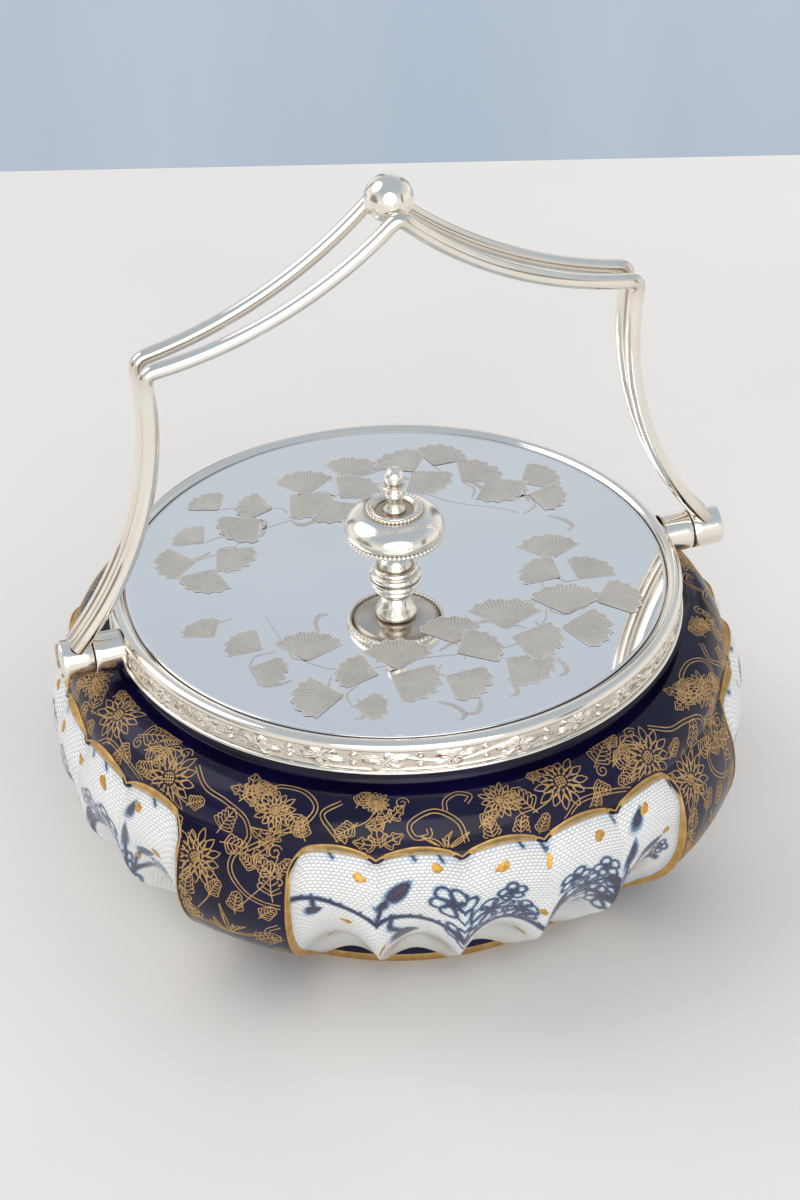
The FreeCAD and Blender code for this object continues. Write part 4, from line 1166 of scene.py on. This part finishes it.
fans = []
fan_marks = []
for number, (x, y, way, width) in enumerate(FAN_LEAVES):
    middle = math.radians(way)
    length = width * 0.95
    apex = fan_apex(x, y, middle, length)
    share = np.linspace(-1, 1, FAN_STEPS)[:, None]
    reach = length * FAN_PARTS * (
        1 - 0.13 * share ** 2 + 0.035 * np.cos(share * 19 + number)
        - 0.10 * np.exp(-(share / 0.07) ** 2) * (number % 3 == 0))
    angle = middle + FAN_HALF * share
    level = np.full(reach.shape, CUT_LEVEL + LEVEL_STEP * (number * 7 % 40))
    fans.append(np.stack([apex[0] + reach * np.cos(angle), apex[1] + reach * np.sin(angle), level], -1))
    fan_marks.append(np.broadcast_to(share + number, reach.shape))
fan_rims = np.zeros(np.shape(fan_marks))
fan_rims[:, [0, -1]] = 1.0
fan_rims[:, :, -1] = 1.0
cut_leaves = sheet("cut_leaves", fans, cut, marks={"fan": fan_marks, "rim": fan_rims})
stand_for(cut_leaves, "lid_plate", "lid")


# Cut stems: single strokes of the graver, two long winding stems, a short one to each
# leaf, and hooked sprigs, each (turn, radius, way it points, length).
STROKE_STEPS = 37


def tapered(points, widest, thinnest=0.15):
    """A flat cut stroke along a curve, thin at its ends."""
    line = bent_line(points, 9)
    share = np.linspace(0, 1, len(line))
    width = thinnest + (widest - thinnest) * np.sin(share * math.pi) ** 0.6
    line_x, line_y, side_x, side_y, wide = (
        np.interp(np.linspace(0, 1, STROKE_STEPS), share, values)[:, None]
        for values in (*line.T, *left_of(line).T, width))
    across = np.array((-1, -0.5, 0, 0.5, 1)) / 2 * wide
    return np.stack(np.broadcast_arrays(
        line_x + side_x * across, line_y + side_y * across, CUT_LEVEL - 0.01), -1)


def lid_place(turn, radius):
    """A flat point on the lid, from its turn in degrees and its radius."""
    return np.array((radius * math.cos(math.radians(turn)), radius * math.sin(math.radians(turn))))


strokes_cut = []
for first, last, wave in ((-172, -12, 0.9), (152, 22, 1.1)):
    turns = np.linspace(first, last, 14)
    stem_line = [lid_place(turn, 38.5 + 3.2 * math.sin(turn / 11 * wave)) for turn in turns]
    strokes_cut.append(tapered(stem_line, 0.42))
for x, y, way, width in FAN_LEAVES:
    apex = fan_apex(x, y, math.radians(way), width * 0.95)
    turn = math.degrees(math.atan2(y, x))
    reach = lid_place(turn - 5, 39.0) - apex
    reach *= min(1.0, 9.0 / max(np.linalg.norm(reach), 1e-6))
    bend = np.array((-reach[1], reach[0])) * 0.25
    strokes_cut.append(tapered([apex + reach, apex + reach * 0.5 + bend, apex], 0.55, 0.2))
for turn, radius, way, size in (
        (-118, 55.0, -100, 8), (-96, 56.5, -60, 9), (-90, 57.0, -120, 7), (-79, 54.0, -95, 7),
        (-64, 53.5, -80, 9), (-34, 50.0, 20, 9), (-30, 52.5, -40, 8), (-151, 27.0, 70, 8),
        (-142, 52.0, 170, 8), (-112, 33.0, 30, 9), (-83, 33.0, 10, 10), (-66, 29.5, 0, 9),
        (-46, 33.0, 30, 9), (10, 47.0, -60, 8), (24, 50.0, -30, 8), (150, 50.0, 190, 8),
        (128, 40.0, 250, 8), (110, 33.0, 200, 9), (100, 41.0, 170, 8), (84, 36.0, -90, 8),
        (66, 42.0, -60, 8), (58, 56.0, 60, 7), (44, 44.0, -70, 8), (30, 45.0, -20, 8)):
    hook = np.array([(-0.5, 0.0), (0.0, 0.14), (0.42, 0.05), (0.5, -0.24)]) * size
    strokes_cut.append(tapered(lid_place(turn, radius) + turned(hook, math.radians(way)), 1.25, 0.3))
cut_stems = sheet("cut_stems", strokes_cut, cut)
stand_for(cut_stems, "lid_plate", "lid")


# Finial: turned and spun silver pieces stacked on one stud: a double beaded foot, a
# waisted stem, a mushroom cap with a milled bead under its edge, a beaded dish ring and
# a little baluster with a ball.
finial_silver = silver("finial_silver", 0.09, 0.9)


def finial_part(name, node, points, recess, steps=96):
    """A turned piece of the finial. Its heights count from the lid's plate."""
    profile = [(radius, PLATE_LEVEL + height) for radius, height in points]
    lathe(name, profile, finial_silver, "lid", node, recess, steps)


def milled_ring(name, radius, height, bead, count, node, squeeze=0.85):
    """A ring of small round beads side by side."""
    turns = circle(count * 8)[:, None]
    swell = 0.55 + 0.45 * np.sqrt(np.abs(np.sin(turns * count / 2)))
    way = np.linspace(0, 2 * math.pi, 17)
    reach = radius + bead * squeeze * swell * np.cos(way)
    rise = PLATE_LEVEL + height + bead * swell * np.sin(way)
    grid = np.stack(np.broadcast_arrays(reach * np.cos(turns), reach * np.sin(turns), rise), -1)
    shade = np.broadcast_to(1 - smooth(swell, 0.6, 0.85), grid.shape[:2])
    piece = sheet(name, grid, finial_silver, around=True, marks={"recess": shade})
    stand_for(piece, node, "lid")


# Each part's list darkens it with painted shade and tarnish where it meets the next part, under the cap's
# edge and between the milled beads.
finial_part("finial_beaded_foot", "finial_foot",
            [(STUD_HOLE, 0.0), (6.2, 0.02)] + arc((5.35, 0.95), 0.95, -80, 80, 12)
            + [(5.2, 1.95), (5.1, 2.1), (5.25, 2.2)] + arc((4.85, 2.78), 0.62, -70, 85, 9)
            + [(4.4, 3.4), (STUD_HOLE, 3.4)],
            [1.0, 0.9] + [0.0] * 12 + [0.7, 1.0, 0.7] + [0.0] * 9 + [0.6, 1.0])
finial_part("finial_waisted_stem", "finial_stem",
            [(STUD_HOLE, 3.4), (4.3, 3.42), (4.05, 3.7), (3.75, 4.3), (3.62, 5.2), (3.7, 6.2), (4.0, 7.3),
             (4.5, 8.4), (5.05, 9.3), (5.2, 9.8), (5.15, 10.4), (4.9, 10.9), (STUD_HOLE, 11.1)],
            [1.0, 0.9, 0.5, 0.1] + [0.0] * 6 + [0.2, 0.7, 1.0])
finial_part("finial_mushroom_cap", "finial_cap",
            [(STUD_HOLE, 11.1), (5.0, 11.15), (7.2, 11.5), (9.4, 11.95), (10.4, 12.2), (10.5, 12.9),
             (11.5, 13.2), (12.0, 13.7), (12.2, 14.4), (12.1, 15.3), (11.75, 16.2), (11.1, 17.1),
             (10.2, 17.9), (9.1, 18.6), (8.0, 19.05), (7.4, 19.2), (7.1, 19.25), (STUD_HOLE, 19.3)],
            [1.0, 0.7, 0.4, 0.4, 0.8, 1.0, 0.5] + [0.0] * 8 + [0.3, 0.7, 0.8], 144)
milled_ring("cap_milled_bead", 11.45, 12.55, 0.62, 64, "cap_bead_ring")
milled_ring("dish_milled_bead", 6.5, 19.7, 0.55, 40, "finial_dish_ring", 0.8)
finial_part("finial_dish", "finial_dish_ring",
            [(6.1, 19.3), (6.2, 20.05), (5.9, 20.35), (5.4, 20.2), (4.9, 19.85), (4.6, 19.6), (4.5, 19.3)],
            [0.9, 0.2, 0.0, 0.1, 0.4, 0.7, 1.0])
finial_part("finial_baluster", "finial_knop",
            [(2.9, 19.3), (3.0, 19.7), (2.75, 20.1), (2.3, 20.6), (2.0, 21.4), (1.95, 22.3), (2.15, 23.2),
             (2.3, 24.1), (2.0, 24.9), (1.5, 25.5), (1.45, 25.75), (2.6, 25.85), (2.9, 26.05),
             (2.85, 26.3), (2.4, 26.42), (1.45, 26.5), (1.4, 26.75)]
            + [(2.45 * math.sin(a), 28.72 - 2.45 * math.cos(a)) for a in np.linspace(0.62, math.pi, 22)],
            [0.9, 0.4, 0.2, 0.3, 0.2] + [0.0] * 4 + [0.5, 0.9, 0.3, 0.0, 0.0, 0.3, 0.9, 0.9, 0.5]
            + [0.0] * 21, 72)

# Stud, washer and nut: plain steel under the lid, dulled by years of tea time damp.
steel = Finish("dull_steel", metallic=1.0)
spots = steel.cloud(500.0, 0.45, 0.7, 4.0)
steel.colour(spots, (0.46, 0.45, 0.44), (0.28, 0.22, 0.17))
steel.feed("Roughness", steel.spread(spots, 0.0, 1.0, 0.28, 0.6))
for node in ("finial_stud", "lid_washer", "lid_nut"):
    refinish(node, steel)
